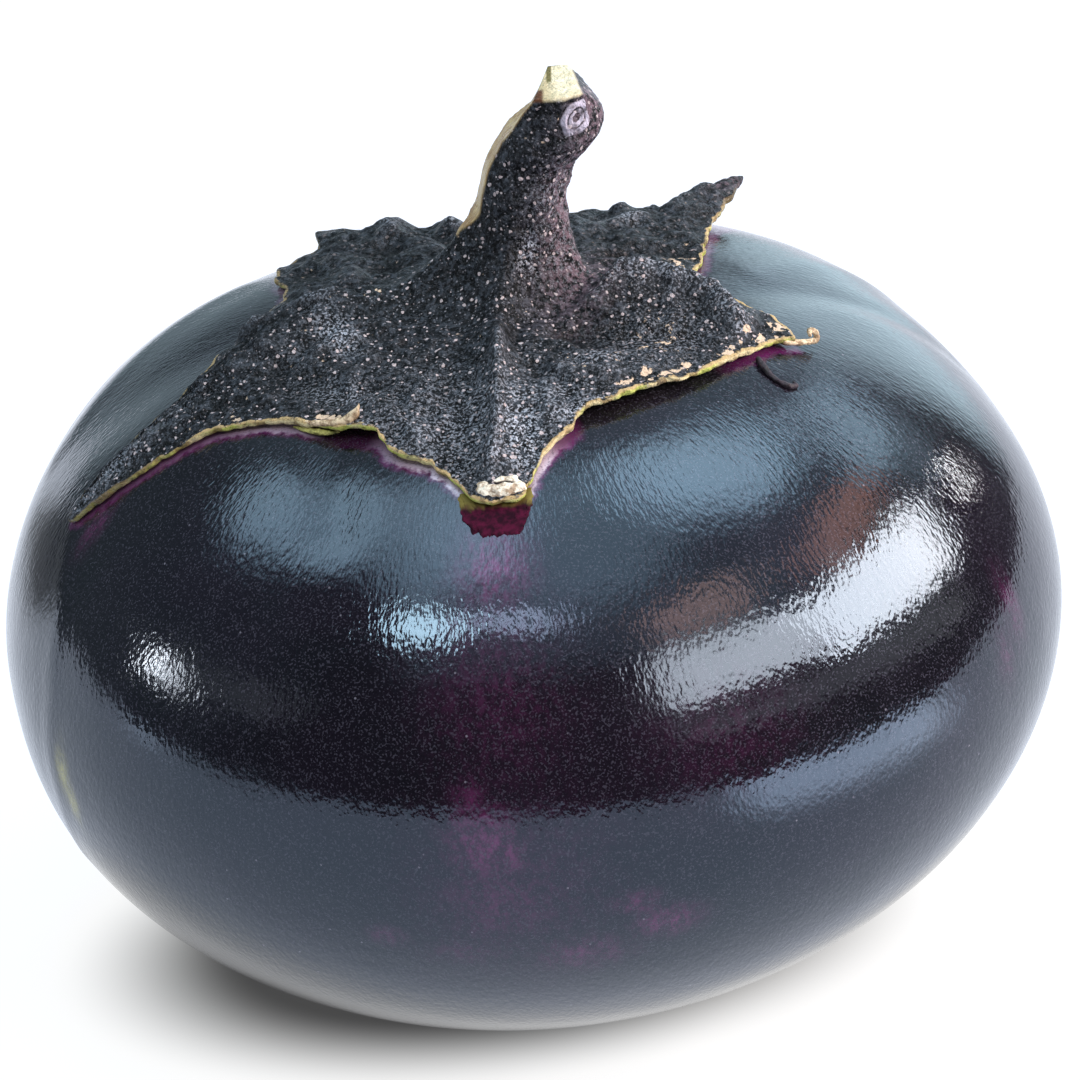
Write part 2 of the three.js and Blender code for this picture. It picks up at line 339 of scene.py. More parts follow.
def ragged_edge():
    """Edge of the calyx on the map, with the small teeth and nicks of a torn margin."""
    edge = calyx_edge()
    along = closed_length(edge[:, :2] * FRUIT_RADIUS)
    circle = around_loop(along, along[-1] + EDGE_STEP)
    across = np.roll(edge, 1, axis=0) - np.roll(edge, -1, axis=0)
    outwards = unit(side_by_side(-across[:, 1], across[:, 0]))
    shift = sum(size * lattice_noise(circle / wave, seed) for size, wave, seed in EDGE_WAVES)
    edge[:, :2] += outwards * shift[:, None] / FRUIT_RADIUS
    return edge


def is_inside(x, y, outline):
    """Whether each place of the map lies inside a closed outline."""
    inside = np.zeros(x.shape, bool)
    following = np.roll(outline, -1, axis=0)
    for (x0, y0), (x1, y1) in zip(outline, following):
        if y0 == y1:
            continue
        crosses = (y0 > y) != (y1 > y)
        inside ^= crosses & (x < (x1 - x0) * (y - y0) / (y1 - y0) + x0)
    return inside


def distance_to_edge(x, y, outline):
    """Distance in mm from each place of the map to the outline."""
    nearest = np.full(x.shape, np.inf)
    for x0, y0 in outline:
        np.minimum(nearest, (x - x0) ** 2 + (y - y0) ** 2, out=nearest)
    return np.sqrt(nearest) * FRUIT_RADIUS


def stroke_height(x, y, strokes):
    """Height in mm of ridges and grooves at a place of the map: points, height and half width each."""
    total = np.zeros(x.shape)
    for places, height, width in strokes:
        spots = [map_place(azimuth, polar) for azimuth, polar in places]
        nearest = np.full(x.shape, np.inf)
        for start, end in zip(spots, spots[1:]):
            run = end - start
            share = ((x - start[0]) * run[0] + (y - start[1]) * run[1]) / (run @ run)
            share = np.clip(share, 0, 1)
            gap_x = x - start[0] - share * run[0]
            gap_y = y - start[1] - share * run[1]
            nearest = np.minimum(nearest, np.hypot(gap_x, gap_y))
        total += height * gauss(nearest, width)
    return total


# Soft folds of the fruit's skin: points by azimuth and polar angle, height and half width in mm
SKIN_FOLDS = [
    ([(-74, 56), (-66, 65), (-61.5, 78), (-61, 95), (-63, 106)], 0.14, 2.6),
    ([(-34, 31), (-29, 37), (-26, 43)], -0.30, 3.4),
    ([(-122, 36), (-106, 48), (-98, 60)], 0.28, 3.0),
    ([(88, 24), (99, 34), (104, 47), (106, 62)], -0.30, 3.2),
    ([(108, 30), (117, 42), (121, 56)], 0.22, 3.0),
]

# Blemishes of the skin: azimuth, polar angle and half sizes both ways in degrees, strength
MAGENTA_MARKS = [
    (-4.4, 84, 3.2, 5.5, 1.0), (-2.0, 86, 1.6, 3.5, 0.8), (-5.5, 78, 1.6, 3.5, 0.6),
    (-3.4, 94, 6.0, 6.5, 0.5), (-15.6, 100, 1.8, 1.6, 0.6), (10, 96.5, 2.2, 2.0, 0.7),
    (13, 101, 3.0, 2.6, 0.9), (4.3, 105, 4.5, 3.2, 0.65), (-7.3, 103, 4.5, 2.6, 0.35),
    (-1.4, 47.5, 4.4, 5.0, 1.0), (-2.0, 62, 7.0, 14, 0.26), (-2.0, 92, 9, 14, 0.26),
    (64, 78.5, 1.6, 5.0, 0.5), (60, 84, 1.4, 4.0, 0.35), (-67.7, 54.5, 1.6, 3.5, 0.8),
    (22, 74, 8, 9, 0.18),
]
STRAW_MARKS = [(-58.6, 88, 1.0, 3.6, 1.0), (-57.2, 93, 0.9, 3.0, 0.9)]
# Pale strip beside the calyx: azimuth, strength of its white part, strength of its violet part
HALO = [
    (-180, 0.1, 0.4), (-135, 0.2, 0.5), (-110, 0.1, 0.3), (-75, 0.0, 0.5), (-62, 0.1, 0.7),
    (-50, 0.5, 0.8), (-42, 0.3, 0.6), (-38, 0.0, 0.1), (-28, 0.0, 0.3), (-24, 0.3, 0.9),
    (-16, 0.7, 0.9), (-8, 1.0, 0.7), (-5, 0.3, 0.4), (0, 0, 0.1), (4, 0.4, 0.4), (6, 0.9, 0.7),
    (9, 0.8, 1.0), (11, 0.2, 1.0), (15, 0.0, 0.7), (18, 0.0, 0.0), (52, 0.0, 0.0), (58, 0.0, 0.4),
    (66, 0.0, 0.7), (70, 0.0, 0.5), (76, 0.2, 0.9), (84, 0.2, 0.9), (92, 0.0, 0.4), (110, 0.1, 0.4),
    (135, 0.1, 0.7), (180, 0.1, 0.4),
]


def marks_at(marks, polar, azimuth):
    total = np.zeros(polar.shape)
    for centre, middle, wide, tall, strength in marks:
        across = turn_between(np.radians(centre), azimuth) / np.radians(wide)
        along = (polar - np.radians(middle)) / np.radians(tall)
        total = np.maximum(total, strength * np.exp(-(across ** 2 + along ** 2)))
    return total


HALO_REACH = 9
RING_CROWDING = 1.6
CROWDED_POLAR = 38
CROWDED_SPREAD = 20
CROWDING_STEPS = 2000
# Polar angles between which the calyx's edge lies
EDGE_BAND = np.radians([15, 75])
GRAIN_STRETCH = 0.5
RIPPLE_HEIGHT = 0.03
RIPPLE_LENGTH = 9


def make_fruit_skin(edge, material):
    """The whole skin of the fruit, with its rings closer together around the calyx's edge."""
    azimuth = 2 * np.pi * np.arange(SKIN_SIDES) / SKIN_SIDES
    rest = rest_polar(azimuth)
    sweep = np.linspace(0, 1, CROWDING_STEPS)
    crowding = 1 + RING_CROWDING * gauss(sweep * np.degrees(rest.mean()) - CROWDED_POLAR, CROWDED_SPREAD)
    travelled = np.cumsum(crowding)
    travelled = (travelled - travelled[0]) / (travelled[-1] - travelled[0])
    shares = np.interp(np.linspace(0, 1, SKIN_RINGS + 1)[1:], travelled, sweep)
    polar = shares[:, None] * rest[None, :]
    azimuth = np.broadcast_to(azimuth, polar.shape)
    x, y = polar * np.sin(azimuth), -polar * np.cos(azimuth)
    rise = RIPPLE_HEIGHT * lattice_noise(skin_point(polar, azimuth) / RIPPLE_LENGTH, seed=21)
    rise += stroke_height(x * FRUIT_RADIUS, y * FRUIT_RADIUS, SKIN_FOLDS)
    points = to_part(above_skin(polar, azimuth, rise))
    points[-1, :, 2] = 0

    outline = edge[:, :2]
    near = (polar > EDGE_BAND[0]) & (polar < EDGE_BAND[1])
    gap = np.full(polar.shape, float(HALO_REACH))
    gap[near] = np.minimum(distance_to_edge(x[near], y[near], outline), HALO_REACH)
    covered = polar <= EDGE_BAND[0]
    covered[near] = is_inside(x[near], y[near], outline)
    gap[covered] = 0
    turn = degrees_from(0, azimuth)
    halo = np.array(HALO)
    values = {
        "edge_gap": gap,
        "grain": FRUIT_RADIUS * side_by_side(np.sin(azimuth), -np.cos(azimuth), GRAIN_STRETCH * polar),
        "halo_white": np.interp(turn, halo[:, 0], halo[:, 1]),
        "halo_violet": np.interp(turn, halo[:, 0], halo[:, 2]),
        "magenta": marks_at(MAGENTA_MARKS, polar, azimuth),
        "straw": marks_at(STRAW_MARKS, polar, azimuth),
    }
    first = to_part(skin_point(np.zeros(1), np.zeros(1)))
    everything = np.concatenate([first, points.reshape(-1, 3), np.zeros((1, 3))])
    attributes = {name: with_ends(rows) for name, rows in values.items()}
    return make_mesh("fruit_skin", everything, ring_faces(SKIN_RINGS, SKIN_SIDES), material, attributes)


# Folds of the calyx: points by azimuth and polar angle, height and half width in mm
CALYX_FOLDS = [
    ([(48, 11), (68, 14.5), (75, 18), (73, 24), (66, 28.5)], 2.8, 1.6),
    ([(34, 14), (43, 18.5), (56, 23.5)], -1.9, 2.2),
    ([(-94, 9), (-80, 14.8), (-86, 20.9), (-87, 27.4)], 1.5, 1.6),
    ([(3, 12), (0.9, 24.7), (-0.4, 31.5), (-1.5, 37.5)], 1.3, 0.8),
    ([(-9, 18), (-9, 27), (-7, 34)], -0.6, 1.9),
    ([(-40, 24), (-26, 27), (-14, 31)], 0.7, 1.2),
    ([(-62, 26), (-48, 26), (-36, 24.5)], -1.2, 2.0),
    ([(12, 24), (14, 29)], 0.8, 1.5),
    ([(17, 21), (26, 24), (36, 26)], 0.7, 1.2),
    ([(-150, 24), (-153, 28)], 2.0, 2.3),
    ([(-166, 22), (-167, 25)], 1.5, 1.7),
    ([(-138, 19), (-146, 22)], -1.0, 1.9),
    ([(-112, 17), (-124, 19)], 0.9, 1.7),
    ([(150, 27), (150, 29)], 1.3, 1.3),
    ([(153, 9), (143, 16), (138, 25), (138, 36)], 0.9, 1.4),
    ([(120, 12), (118, 18), (116, 23)], -0.9, 1.7),
    ([(-120, 12), (-122, 20), (-118, 25)], -0.7, 1.8),
    ([(-66, 16), (-62, 21)], 0.8, 1.5),
]
# Wrinkles that run out from the stem, then the leathery bumps: size and wavelength in mm, seed
WRINKLE_HEIGHT = 0.42
WRINKLES_AROUND = 9
WRINKLES_ALONG = 6
BUMPS = [(0.50, 3.4, 32), (0.38, 1.7, 33), (0.20, 0.95, 34)]
THINNEST = 0.35
EDGE_THINNING = 0.26
TEXTURE_AT_EDGE = 0.4
# Shares of the way to the edge where texture and folds reach their height, and where thinning starts
TEXTURE_RISE = 0.15
FOLD_RISE = 0.2
THINNING_START = 0.5
# How much of the folds' height goes into the colour as painted light: lighter on their ridges,
# painted shade in their valleys
FOLD_PAINTED_LIGHT = 0.5


def leather(points):
    return sum(size * lattice_noise(points / wave, seed) for size, wave, seed in BUMPS)


def calyx_layer(foot, edge, share, rise_share, thinning):
    """One ring of the calyx: a share of the way to the edge, and of the way up its thickness."""
    place = foot + (edge - foot) * share
    polar = part_polar(place)
    azimuth = part_azimuth(place)
    x, y = place[..., 0] * FRUIT_RADIUS, place[..., 1] * FRUIT_RADIUS
    crown = CROWN_THICKNESS * gauss(polar * FRUIT_RADIUS - CROWN_RADIUS, CROWN_SPREAD)
    streaks = side_by_side(
        WRINKLES_AROUND * np.sin(azimuth), WRINKLES_AROUND * np.cos(azimuth), WRINKLES_ALONG * polar,
    )
    texture = WRINKLE_HEIGHT * lattice_noise(streaks, seed=31) + leather(side_by_side(x, y, 0 * x))
    texture = texture * smooth(share, 0, TEXTURE_RISE)
    to_rim = smooth(share, RIM_START, 1)
    folds = stroke_height(x, y, CALYX_FOLDS) * smooth(share, 0, FOLD_RISE)
    relief = crown + rib_height(polar, azimuth) + folds
    relief = relief * (1 - to_rim) + texture * (1 - (1 - TEXTURE_AT_EDGE) * to_rim)
    thickness = EDGE_THICKNESS - thinning * smooth(share, THINNING_START, 1) + relief
    thickness = np.maximum(thickness, THINNEST)
    point = above_skin(polar, azimuth, SKIN_GAP + thickness * rise_share)
    point[..., 2] += place[..., 2] * smooth(share, LIFT_START, 1)
    # Also returned: texture and fold height, which the material paints as light on tops and shade in valleys
    return point, texture + FOLD_PAINTED_LIGHT * folds


SPINE_STEPS = 60


def stem_spine():
    spots = np.array(STEM_SPINE, float)
    spots = [2 * spots[0] - spots[1], *spots, 2 * spots[-1] - spots[-2]]
    share = np.linspace(0, 1, SPINE_STEPS)
    return np.concatenate([catmull_rom(*spots[k:k + 4], share) for k in range(len(STEM_SPINE) - 1)])


SPINE = stem_spine()


def stem_middle(level):
    return side_by_side(*(np.interp(level, SPINE[:, 2], SPINE[:, k]) for k in (0, 1)))


def facing(azimuth):
    """Level directions that look along azimuths in degrees."""
    angle = np.radians(azimuth)
    return side_by_side(np.sin(angle), -np.cos(angle))


FIBRE_HEIGHT = 0.22
FIBRES_AROUND = 3.2
FIBRE_LENGTH = 9
NECK_RINGS = {"azimuth": 62, "spread": 3.2, "from": 50, "to": 57, "fade": 2, "spacing": 0.9, "height": 0.10}
STEM_BUMP_SHARE = 0.6
# The scar: a pale ring around a pale button with a dark pit. Its profile is distance and lift in mm
SCAR = {
    "azimuth": 35, "level": 60.7, "wobble": 0.42, "wave": 1.3, "calm_from": 1.8, "calm_to": 2.4, "calm": 0.8,
}
SCAR_PROFILE = [(0, -0.15), (0.35, -0.12), (0.7, 0.25), (1.0, -0.05), (1.45, 0.30), (1.9, -0.18), (2.4, 0)]


def stem_layer(base, share):
    """One ring of the stem above its foot, with its flare, knob, fibres, scar and trimmed faces."""
    foot = base[:, :2] - stem_middle(base[:, 2])
    azimuth = part_azimuth(foot)
    out = facing(np.degrees(azimuth))
    level = base[:, 2] + (TOP_LEVEL - base[:, 2]) * share
    rise = level - base[:, 2]
    flare = (part_polar(foot) - STEM_RADIUS) * np.exp(-rise / FLARE_HEIGHT)
    rib_fade = np.exp(-rise / STEM_RIB_HEIGHT) * smooth(rise, 0, 2)
    ribs = STEM_RIB_SHARE * rib_height(np.radians(BASE_POLAR), azimuth) * rib_fade
    knob_across = 2 * STEM_RADIUS * np.sin(turn_between(np.radians(KNOB["azimuth"]), azimuth) / 2)
    knob = KNOB["height"] * gauss(knob_across, KNOB["width"]) * gauss(level - KNOB["level"], KNOB["spread"])
    radius = STEM_RADIUS + flare + ribs + knob
    texture = stem_texture(out, azimuth, level)

    scar_across = radius * turn_between(np.radians(SCAR["azimuth"]), azimuth)
    scar_gap = np.hypot(scar_across, level - SCAR["level"])
    scar_place = np.column_stack([out * radius[:, None], level]) / SCAR["wave"]
    scar_gap = scar_gap + SCAR["wobble"] * lattice_noise(scar_place, seed=43)
    scar = np.array(SCAR_PROFILE)
    calm = SCAR["calm"] * (1 - smooth(scar_gap, SCAR["calm_from"], SCAR["calm_to"]))
    lift = np.interp(scar_gap, scar[:, 0], scar[:, 1]) + texture * smooth(rise, 0, 4) * (1 - calm)
    offset, beyond = trim_stem(out * (radius + lift)[:, None], level)
    points = np.column_stack([stem_middle(level) + offset, level])
    return points, smooth(beyond, *PEEL["edge"]), texture, scar_gap


def stem_texture(out, azimuth, level):
    """Height in mm of the stem's fibres, bumps and neck rings."""
    fibres = lattice_noise(np.column_stack([FIBRES_AROUND * out, level / FIBRE_LENGTH]), seed=41)
    bumps = leather(np.column_stack([STEM_RADIUS * out, level]))
    texture = FIBRE_HEIGHT * fibres + STEM_BUMP_SHARE * bumps
    neck_across = STEM_RADIUS * turn_between(np.radians(NECK_RINGS["azimuth"]), azimuth)
    start, end, fade = NECK_RINGS["from"], NECK_RINGS["to"], NECK_RINGS["fade"]
    neck = gauss(neck_across, NECK_RINGS["spread"]) * smooth(level, start, start + fade)
    neck = neck * (1 - smooth(level, end - fade, end))
    return texture + neck * NECK_RINGS["height"] * np.sin(2 * np.pi * level / NECK_RINGS["spacing"])


def trim_stem(offset, level):
    """Cuts the stem's outline back to its peeled face and its shoulder, and says how far beyond it was."""
    bark_left = PEEL["depth"] * (1 - smooth(level, PEEL["start"], PEEL["start"] + PEEL["fade"]))
    faces = np.array(PEEL_FACES)
    limit = np.interp(level, faces[:, 0], faces[:, 2]) + bark_left
    limit = np.where(level > PEEL["start"], limit, np.inf)
    looks = facing(np.interp(level, faces[:, 0], faces[:, 1]))
    beyond = np.sum(offset * looks, axis=-1) - limit
    offset = offset - np.maximum(beyond, 0)[:, None] * looks
    share = np.clip((level - SHOULDER["start"]) / (TOP_LEVEL - SHOULDER["start"]), 0, 1)
    cut = (SHOULDER["offset"] - SHOULDER["end_offset"]) * share ** SHOULDER["power"]
    looks = facing(SHOULDER["azimuth"])
    fall = offset @ looks - np.where(share > 0, SHOULDER["offset"] - cut, np.inf)
    return offset - np.maximum(fall, 0)[:, None] * looks, beyond


CUT_RINGS = 9
TOP_CROWDING = 1.1
WALL_BULGE = 0.14
PINK_SIDE = {"azimuth": 72, "spread": 36}
# How pale the calyx's margin is, by azimuth
RIM_TONES = [
    (-180, 0.1), (-150, 0.1), (-120, 0.5), (-80, 0.8), (-74, 0.3), (-68, 0.3), (-62, 1), (-50, 1),
    (112, 1), (128, 1), (134, 0.3), (138, 0), (180, 0.1),
]
# Patches of painted highlight and glints, then straw-coloured patches: azimuth, polar angle, half sizes
# across and along in mm, strength
CALYX_PAINTED_SHEEN = [
    (5, 30, 2.4, 7.0, 1.1), (18, 29, 4.5, 1.6, 0.9), (-64.6, 18.5, 4.5, 1.6, 0.9),
    (-66, 23, 3.5, 3.0, 0.15), (-40, 25, 6, 2.5, 0.5), (30, 21, 4.5, 2.5, 0.5),
    (152, 9.3, 1.0, 2.2, 0.5), (-30, 30, 4, 1.5, 0.6), (55, 24, 4.5, 3.0, 0.35), (-8, 36, 2, 2, 0.5),
    (143, 22, 3, 2, 0.5), (-5, 28, 13, 9, 0.48), (50, 22, 8, 6, 0.30), (-72, 48, 2.0, 9, 0.5),
    (12, 26, 5, 5, 0.5),
]
CALYX_STRAW = [
    (33, 26.6, 2.6, 0.6, 1), (42, 27.6, 3.5, 0.6, 1), (60, 29.0, 3.0, 0.6, 1), (67, 30.8, 1.6, 0.8, 1),
    (73, 31.6, 1.8, 1.0, 1), (-38, 29.0, 2.4, 0.6, 1), (-79, 12.7, 0.8, 0.5, 1),
    (106, 20, 1.8, 1.2, 0.9), (112, 21.5, 0.8, 2.4, 0.9), (50, 22, 5, 3, 0.35), (27, 22, 5, 2, 0.35),
    (-60, 36, 3, 6, 0.35),
]
# Azimuth of the flecked front, the turns from it and polar angles between which flecks get fewer, and the
# share that is missing behind
FRONT = 5
BACK = (75, 115)
FLECKS_FADE = (9, 14)
FLECKS_BEHIND = 0.8
# In mm: where the stem's pink fades, by distance from the stem's middle, how far in from the edge the tan
# rim starts and ends, and the wavelength of the edge's uneven thickness
PINK_FADE = (11, 17)
RIM_REACH = (0.05, 1.1)
UNEVEN_EDGE = 3.1
# Purple patch of a back lobe: azimuth, polar angle, half sizes across and along in mm, strength
PURPLE_TIP = [(139, 41, 2.5, 5.0, 0.55)]
# Patches of painted highlight on the stem: azimuth, level, half sizes across and along in mm, strength
STEM_PAINTED_SHEEN = [
    (22, 46.0, 0.9, 2.4, 1.0), (52, 52, 3.0, 5.0, 0.35), (60, 46, 2.6, 4.0, 0.3), (96, 56, 2.5, 4, 0.2),
]


def spots_at(spots, x, y):
    total = np.zeros(x.shape)
    for azimuth, polar, wide, tall, strength in spots:
        middle = map_place(azimuth, polar)
        out = middle / np.linalg.norm(middle)
        along = (x - middle[0]) * out[0] + (y - middle[1]) * out[1]
        across = (x - middle[0]) * out[1] - (y - middle[1]) * out[0]
        total = np.maximum(total, strength * np.exp(-((across / wide) ** 2 + (along / tall) ** 2)))
    return total


# Strength of the painted highlight spots on the stem, by place
def stem_sheen(azimuth, level):
    total = np.zeros(len(azimuth))
    for centre, middle, wide, tall, strength in STEM_PAINTED_SHEEN:
        across = STEM_RADIUS * turn_between(np.radians(centre), azimuth)
        total = np.maximum(total, strength * gauss(across, wide) * gauss(level - middle, tall))
    return total


# Values at the points of the calyx and stem, for their material
CALYX_VALUES = (
    "rim", "rim_tone", "wall", "peel", "cut", "texture", "scar_gap", "sheen", "straw", "pink", "speckled",
)
FAR_FROM_SCAR = 9.0


def make_calyx_skin(edge, material):
    """Calyx and stem in one skin: the cut end, the stem, the calyx, its rim and its underside."""
    count = len(edge)
    even = math.radians(CALYX_EDGE[0][0]) + 2 * np.pi * np.arange(count) / count
    foot_azimuth = even + FOOT_TURN_SHARE * turn_between(even, part_azimuth(edge))
    foot = to_map(foot_azimuth, np.full(count, math.radians(BASE_POLAR)), 0)
    along = closed_length(edge[:, :2] * FRUIT_RADIUS)
    circle = around_loop(along, along[-1] + EDGE_STEP)
    thinning = EDGE_THINNING * (1 + lattice_noise(circle / UNEVEN_EDGE, seed=51))
    run = np.linalg.norm((edge - foot)[:, :2], axis=1) * FRUIT_RADIUS
    tones = np.array(RIM_TONES)
    rim_tone = np.interp(degrees_from(0, part_azimuth(edge)), tones[:, 0], tones[:, 1])
    behind = smooth(np.abs(degrees_from(FRONT, foot_azimuth)), *BACK)
    pink_side = gauss(degrees_from(PINK_SIDE["azimuth"], foot_azimuth), PINK_SIDE["spread"])
    foot_ring, _ = calyx_layer(foot, edge, 0.0, 1.0, thinning)
    values = {name: [] for name in CALYX_VALUES}
    rings = []

    def keep(points, **given):
        rings.append(points)
        for name in CALYX_VALUES:
            empty = FAR_FROM_SCAR if name == "scar_gap" else 0.0
            values[name].append(np.broadcast_to(given.get(name, empty), count))

    def keep_calyx(share, rise_share, edge_line=edge, **given):
        points, texture = calyx_layer(foot, edge_line, share, rise_share, thinning)
        place = (foot + (edge_line - foot) * share) * FRUIT_RADIUS
        x, y = place[:, 0], place[:, 1]
        pink = pink_side * (1 - smooth(part_polar(place), *PINK_FADE))
        flecks_fade = smooth(np.degrees(part_polar(place) / FRUIT_RADIUS), *FLECKS_FADE)
        # Spots of painted highlight go in with the straw and pink, which are the calyx's own colour
        keep(
            points, texture=texture, rim_tone=rim_tone, pink=np.maximum(pink, spots_at(PURPLE_TIP, x, y)),
            straw=spots_at(CALYX_STRAW, x, y), sheen=spots_at(CALYX_PAINTED_SHEEN, x, y),
            speckled=1 - FLECKS_BEHIND * behind * flecks_fade, **given,
        )

    top_ring, _, _, _ = stem_layer(foot_ring, 1.0)
    middle = top_ring.mean(axis=0)
    for ring in range(1, CUT_RINGS):
        keep(middle + (top_ring - middle) * ring / CUT_RINGS, cut=1.0)
    for ring in range(STEM_RINGS, 0, -1):
        share = (ring / STEM_RINGS) ** TOP_CROWDING
        points, peeled, texture, scar_gap = stem_layer(foot_ring, share)
        # Spots of painted highlight on the stem
        sheen = stem_sheen(foot_azimuth, points[:, 2])
        keep(
            points, peel=peeled, texture=texture, scar_gap=scar_gap, sheen=sheen, pink=pink_side,
            cut=1.0 if ring == STEM_RINGS else 0.0, speckled=1.0,
        )
    for ring in range(TOP_RINGS + 1):
        share = ring / TOP_RINGS
        keep_calyx(share, 1.0, rim=1 - smooth(run * (1 - share), *RIM_REACH))
    for step in range(1, WALL_STEPS + 1):
        drop = step / WALL_STEPS
        bulge = 1 + WALL_BULGE * math.sin(math.pi * drop) / np.maximum(run, 1)
        keep_calyx(1.0, 1 - drop, foot + (edge - foot) * bulge[:, None], rim=1.0, wall=1.0)
    for ring in range(UNDER_RINGS - 1, 0, -1):
        keep_calyx(ring / UNDER_RINGS, 0.0, wall=0.5)

    last = skin_point(np.zeros(1), np.zeros(1)) + [0, 0, SKIN_GAP]
    own = np.concatenate([middle[None], np.array(rings).reshape(-1, 3), last])
    attributes = {name: with_ends(np.array(rows)) for name, rows in values.items()}
    attributes["own_place"] = own - [*stem_middle(TOP_LEVEL), TOP_LEVEL]
    return make_mesh("calyx_skin", to_part(own), ring_faces(len(rings), count), material, attributes)


def set_inputs(tree, node, inputs):
    """Each input is a plain value, or another node's output to link."""
    for key, value in inputs.items():
        if isinstance(value, bpy.types.NodeSocket):
            tree.links.new(value, node.inputs[key])
        else:
            node.inputs[key].default_value = value


def add_node(tree, kind, inputs, **settings):
    made = tree.nodes.new("ShaderNode" + kind)
    for key, value in settings.items():
        setattr(made, key, value)
    set_inputs(tree, made, inputs)
    return made


def attribute(tree, name, output="Fac"):
    return add_node(tree, "Attribute", {}, attribute_name=name).outputs[output]


def object_place(tree):
    return add_node(tree, "TexCoord", {}).outputs["Object"]


def maths(tree, operation, first, second=0.0):
    return add_node(tree, "Math", {0: first, 1: second}, operation=operation).outputs[0]


def times(tree, first, second):
    return maths(tree, "MULTIPLY", first, second)


def plus(tree, first, second):
    return maths(tree, "ADD", first, second)


def dot(tree, first, second):
    inputs = {0: first, 1: tuple(second)}
    return add_node(tree, "VectorMath", inputs, operation="DOT_PRODUCT").outputs["Value"]


def span(tree, value, start, end, low=0.0, high=1.0):
    """Value carried smoothly from the range start to end into the range low to high."""
    inputs = {"Value": value, "From Min": start, "From Max": end, "To Min": low, "To Max": high}
    return add_node(tree, "MapRange", inputs, interpolation_type="SMOOTHSTEP").outputs["Result"]


def blend(tree, share, first, second):
    """Mix of two colours: plain triples or outputs."""
    def colour(value):
        return value if isinstance(value, bpy.types.NodeSocket) else (*value, 1)
    inputs = {0: share, 6: colour(first), 7: colour(second)}
    return add_node(tree, "Mix", inputs, data_type="RGBA").outputs[2]


def noise(tree, place, scale, detail=2.0, roughness=0.5, output="Fac"):
    inputs = {"Vector": place, "Scale": scale, "Detail": detail, "Roughness": roughness}
    return add_node(tree, "TexNoise", inputs).outputs[output]


def bump(tree, height, distance, below=None):
    inputs = {"Height": height, "Distance": distance}
    if below is not None:
        inputs["Normal"] = below
    return add_node(tree, "Bump", inputs).outputs["Normal"]


def new_material(name):
    material = bpy.data.materials.new(name)
    material.use_nodes = True
    tree = material.node_tree
    tree.nodes.clear()
    surface = add_node(tree, "BsdfPrincipled", {})
    add_node(tree, "OutputMaterial", {"Surface": surface.outputs[0]})
    return material, tree, surface


# Colours of the skin, from the deepest layer up
SKIN_TONES = {
    "deep": (0.0036, 0.0030, 0.0046), "light": (0.0062, 0.0036, 0.0070), "magenta": (0.135, 0.024, 0.095),
    "straw": (0.30, 0.27, 0.06), "violet": (0.11, 0.010, 0.085), "white": (0.60, 0.50, 0.62),
    "speck": (0.30, 0.28, 0.34), "dust": (0.062, 0.057, 0.078),
}


def skin_material():
    """Very dark purple gloss skin with fine pits, and a pale to violet strip beside the calyx."""
    material, tree, surface = new_material("aubergine_skin")
    grain = attribute(tree, "grain", "Vector")
    place = object_place(tree)
    cloud = span(tree, noise(tree, place, 60.0), 0.35, 0.7)
    base = blend(tree, cloud, SKIN_TONES["deep"], SKIN_TONES["light"])
    smear = span(tree, noise(tree, grain, 0.9, 5.0, 0.8), 0.40, 0.64, 0.2, 0.9)
    base = blend(tree, times(tree, attribute(tree, "magenta"), smear), base, SKIN_TONES["magenta"])
    dry = span(tree, noise(tree, place, 300.0), 0.2, 0.55)
    base = blend(tree, times(tree, attribute(tree, "straw"), dry), base, SKIN_TONES["straw"])

    fray = span(tree, noise(tree, place, 900.0, 3.0, 0.6), 0.25, 0.75, -0.32, 0.32)
    gap = plus(tree, attribute(tree, "edge_gap"), fray)
    violet = times(tree, span(tree, gap, 1.6, 0.5), attribute(tree, "halo_violet"))
    base = blend(tree, violet, base, SKIN_TONES["violet"])
    white = times(tree, span(tree, gap, 0.95, 0.30), attribute(tree, "halo_white"))
    base = blend(tree, white, base, SKIN_TONES["white"])

    cells = add_node(tree, "TexVoronoi", {"Vector": place, "Scale": 330.0}).outputs["Distance"]
    base = blend(tree, span(tree, cells, 0.055, 0.025, 0.0, 0.4), base, SKIN_TONES["speck"])
    dust = span(tree, noise(tree, place, 4200.0, 1.0), 0.52, 0.72, 0.0, 0.5)
    base = blend(tree, dust, base, SKIN_TONES["dust"])
    waves = bump(tree, noise(tree, place, 160.0), 0.00008)
    set_inputs(tree, surface, {
        "Base Color": base, "IOR": 1.6, "Specular Tint": (0.63, 0.80, 1.0, 1),
        "Roughness": span(tree, noise(tree, place, 90.0), 0.3, 0.7, 0.08, 0.15),
        "Normal": bump(tree, noise(tree, grain, 1.7, 1.5, 0.6), 0.000050, waves),
    })
    return material


def fleck_mask(tree, place, scale, smallest, largest, left_out):
    """Irregular dots, one to a cell, their radius a share of it. A share of the cells has none."""
    stir = {0: noise(tree, place, scale * 1.6, 2.0, 0.6, "Color"), "Scale": 0.55 / scale}
    wobble = add_node(tree, "VectorMath", stir, operation="SCALE").outputs[0]
    moved = add_node(tree, "VectorMath", {0: place, 1: wobble}, operation="ADD").outputs[0]
    cells = add_node(tree, "TexVoronoi", {"Vector": moved, "Scale": scale})
    pick = add_node(tree, "SeparateColor", {"Color": cells.outputs["Color"]})
    radius = span(tree, pick.outputs[1], 0.0, 1.0, smallest, largest)
    inside = span(tree, maths(tree, "SUBTRACT", radius, cells.outputs["Distance"]), -0.03, 0.03)
    return times(tree, inside, maths(tree, "GREATER_THAN", pick.outputs[0], left_out))


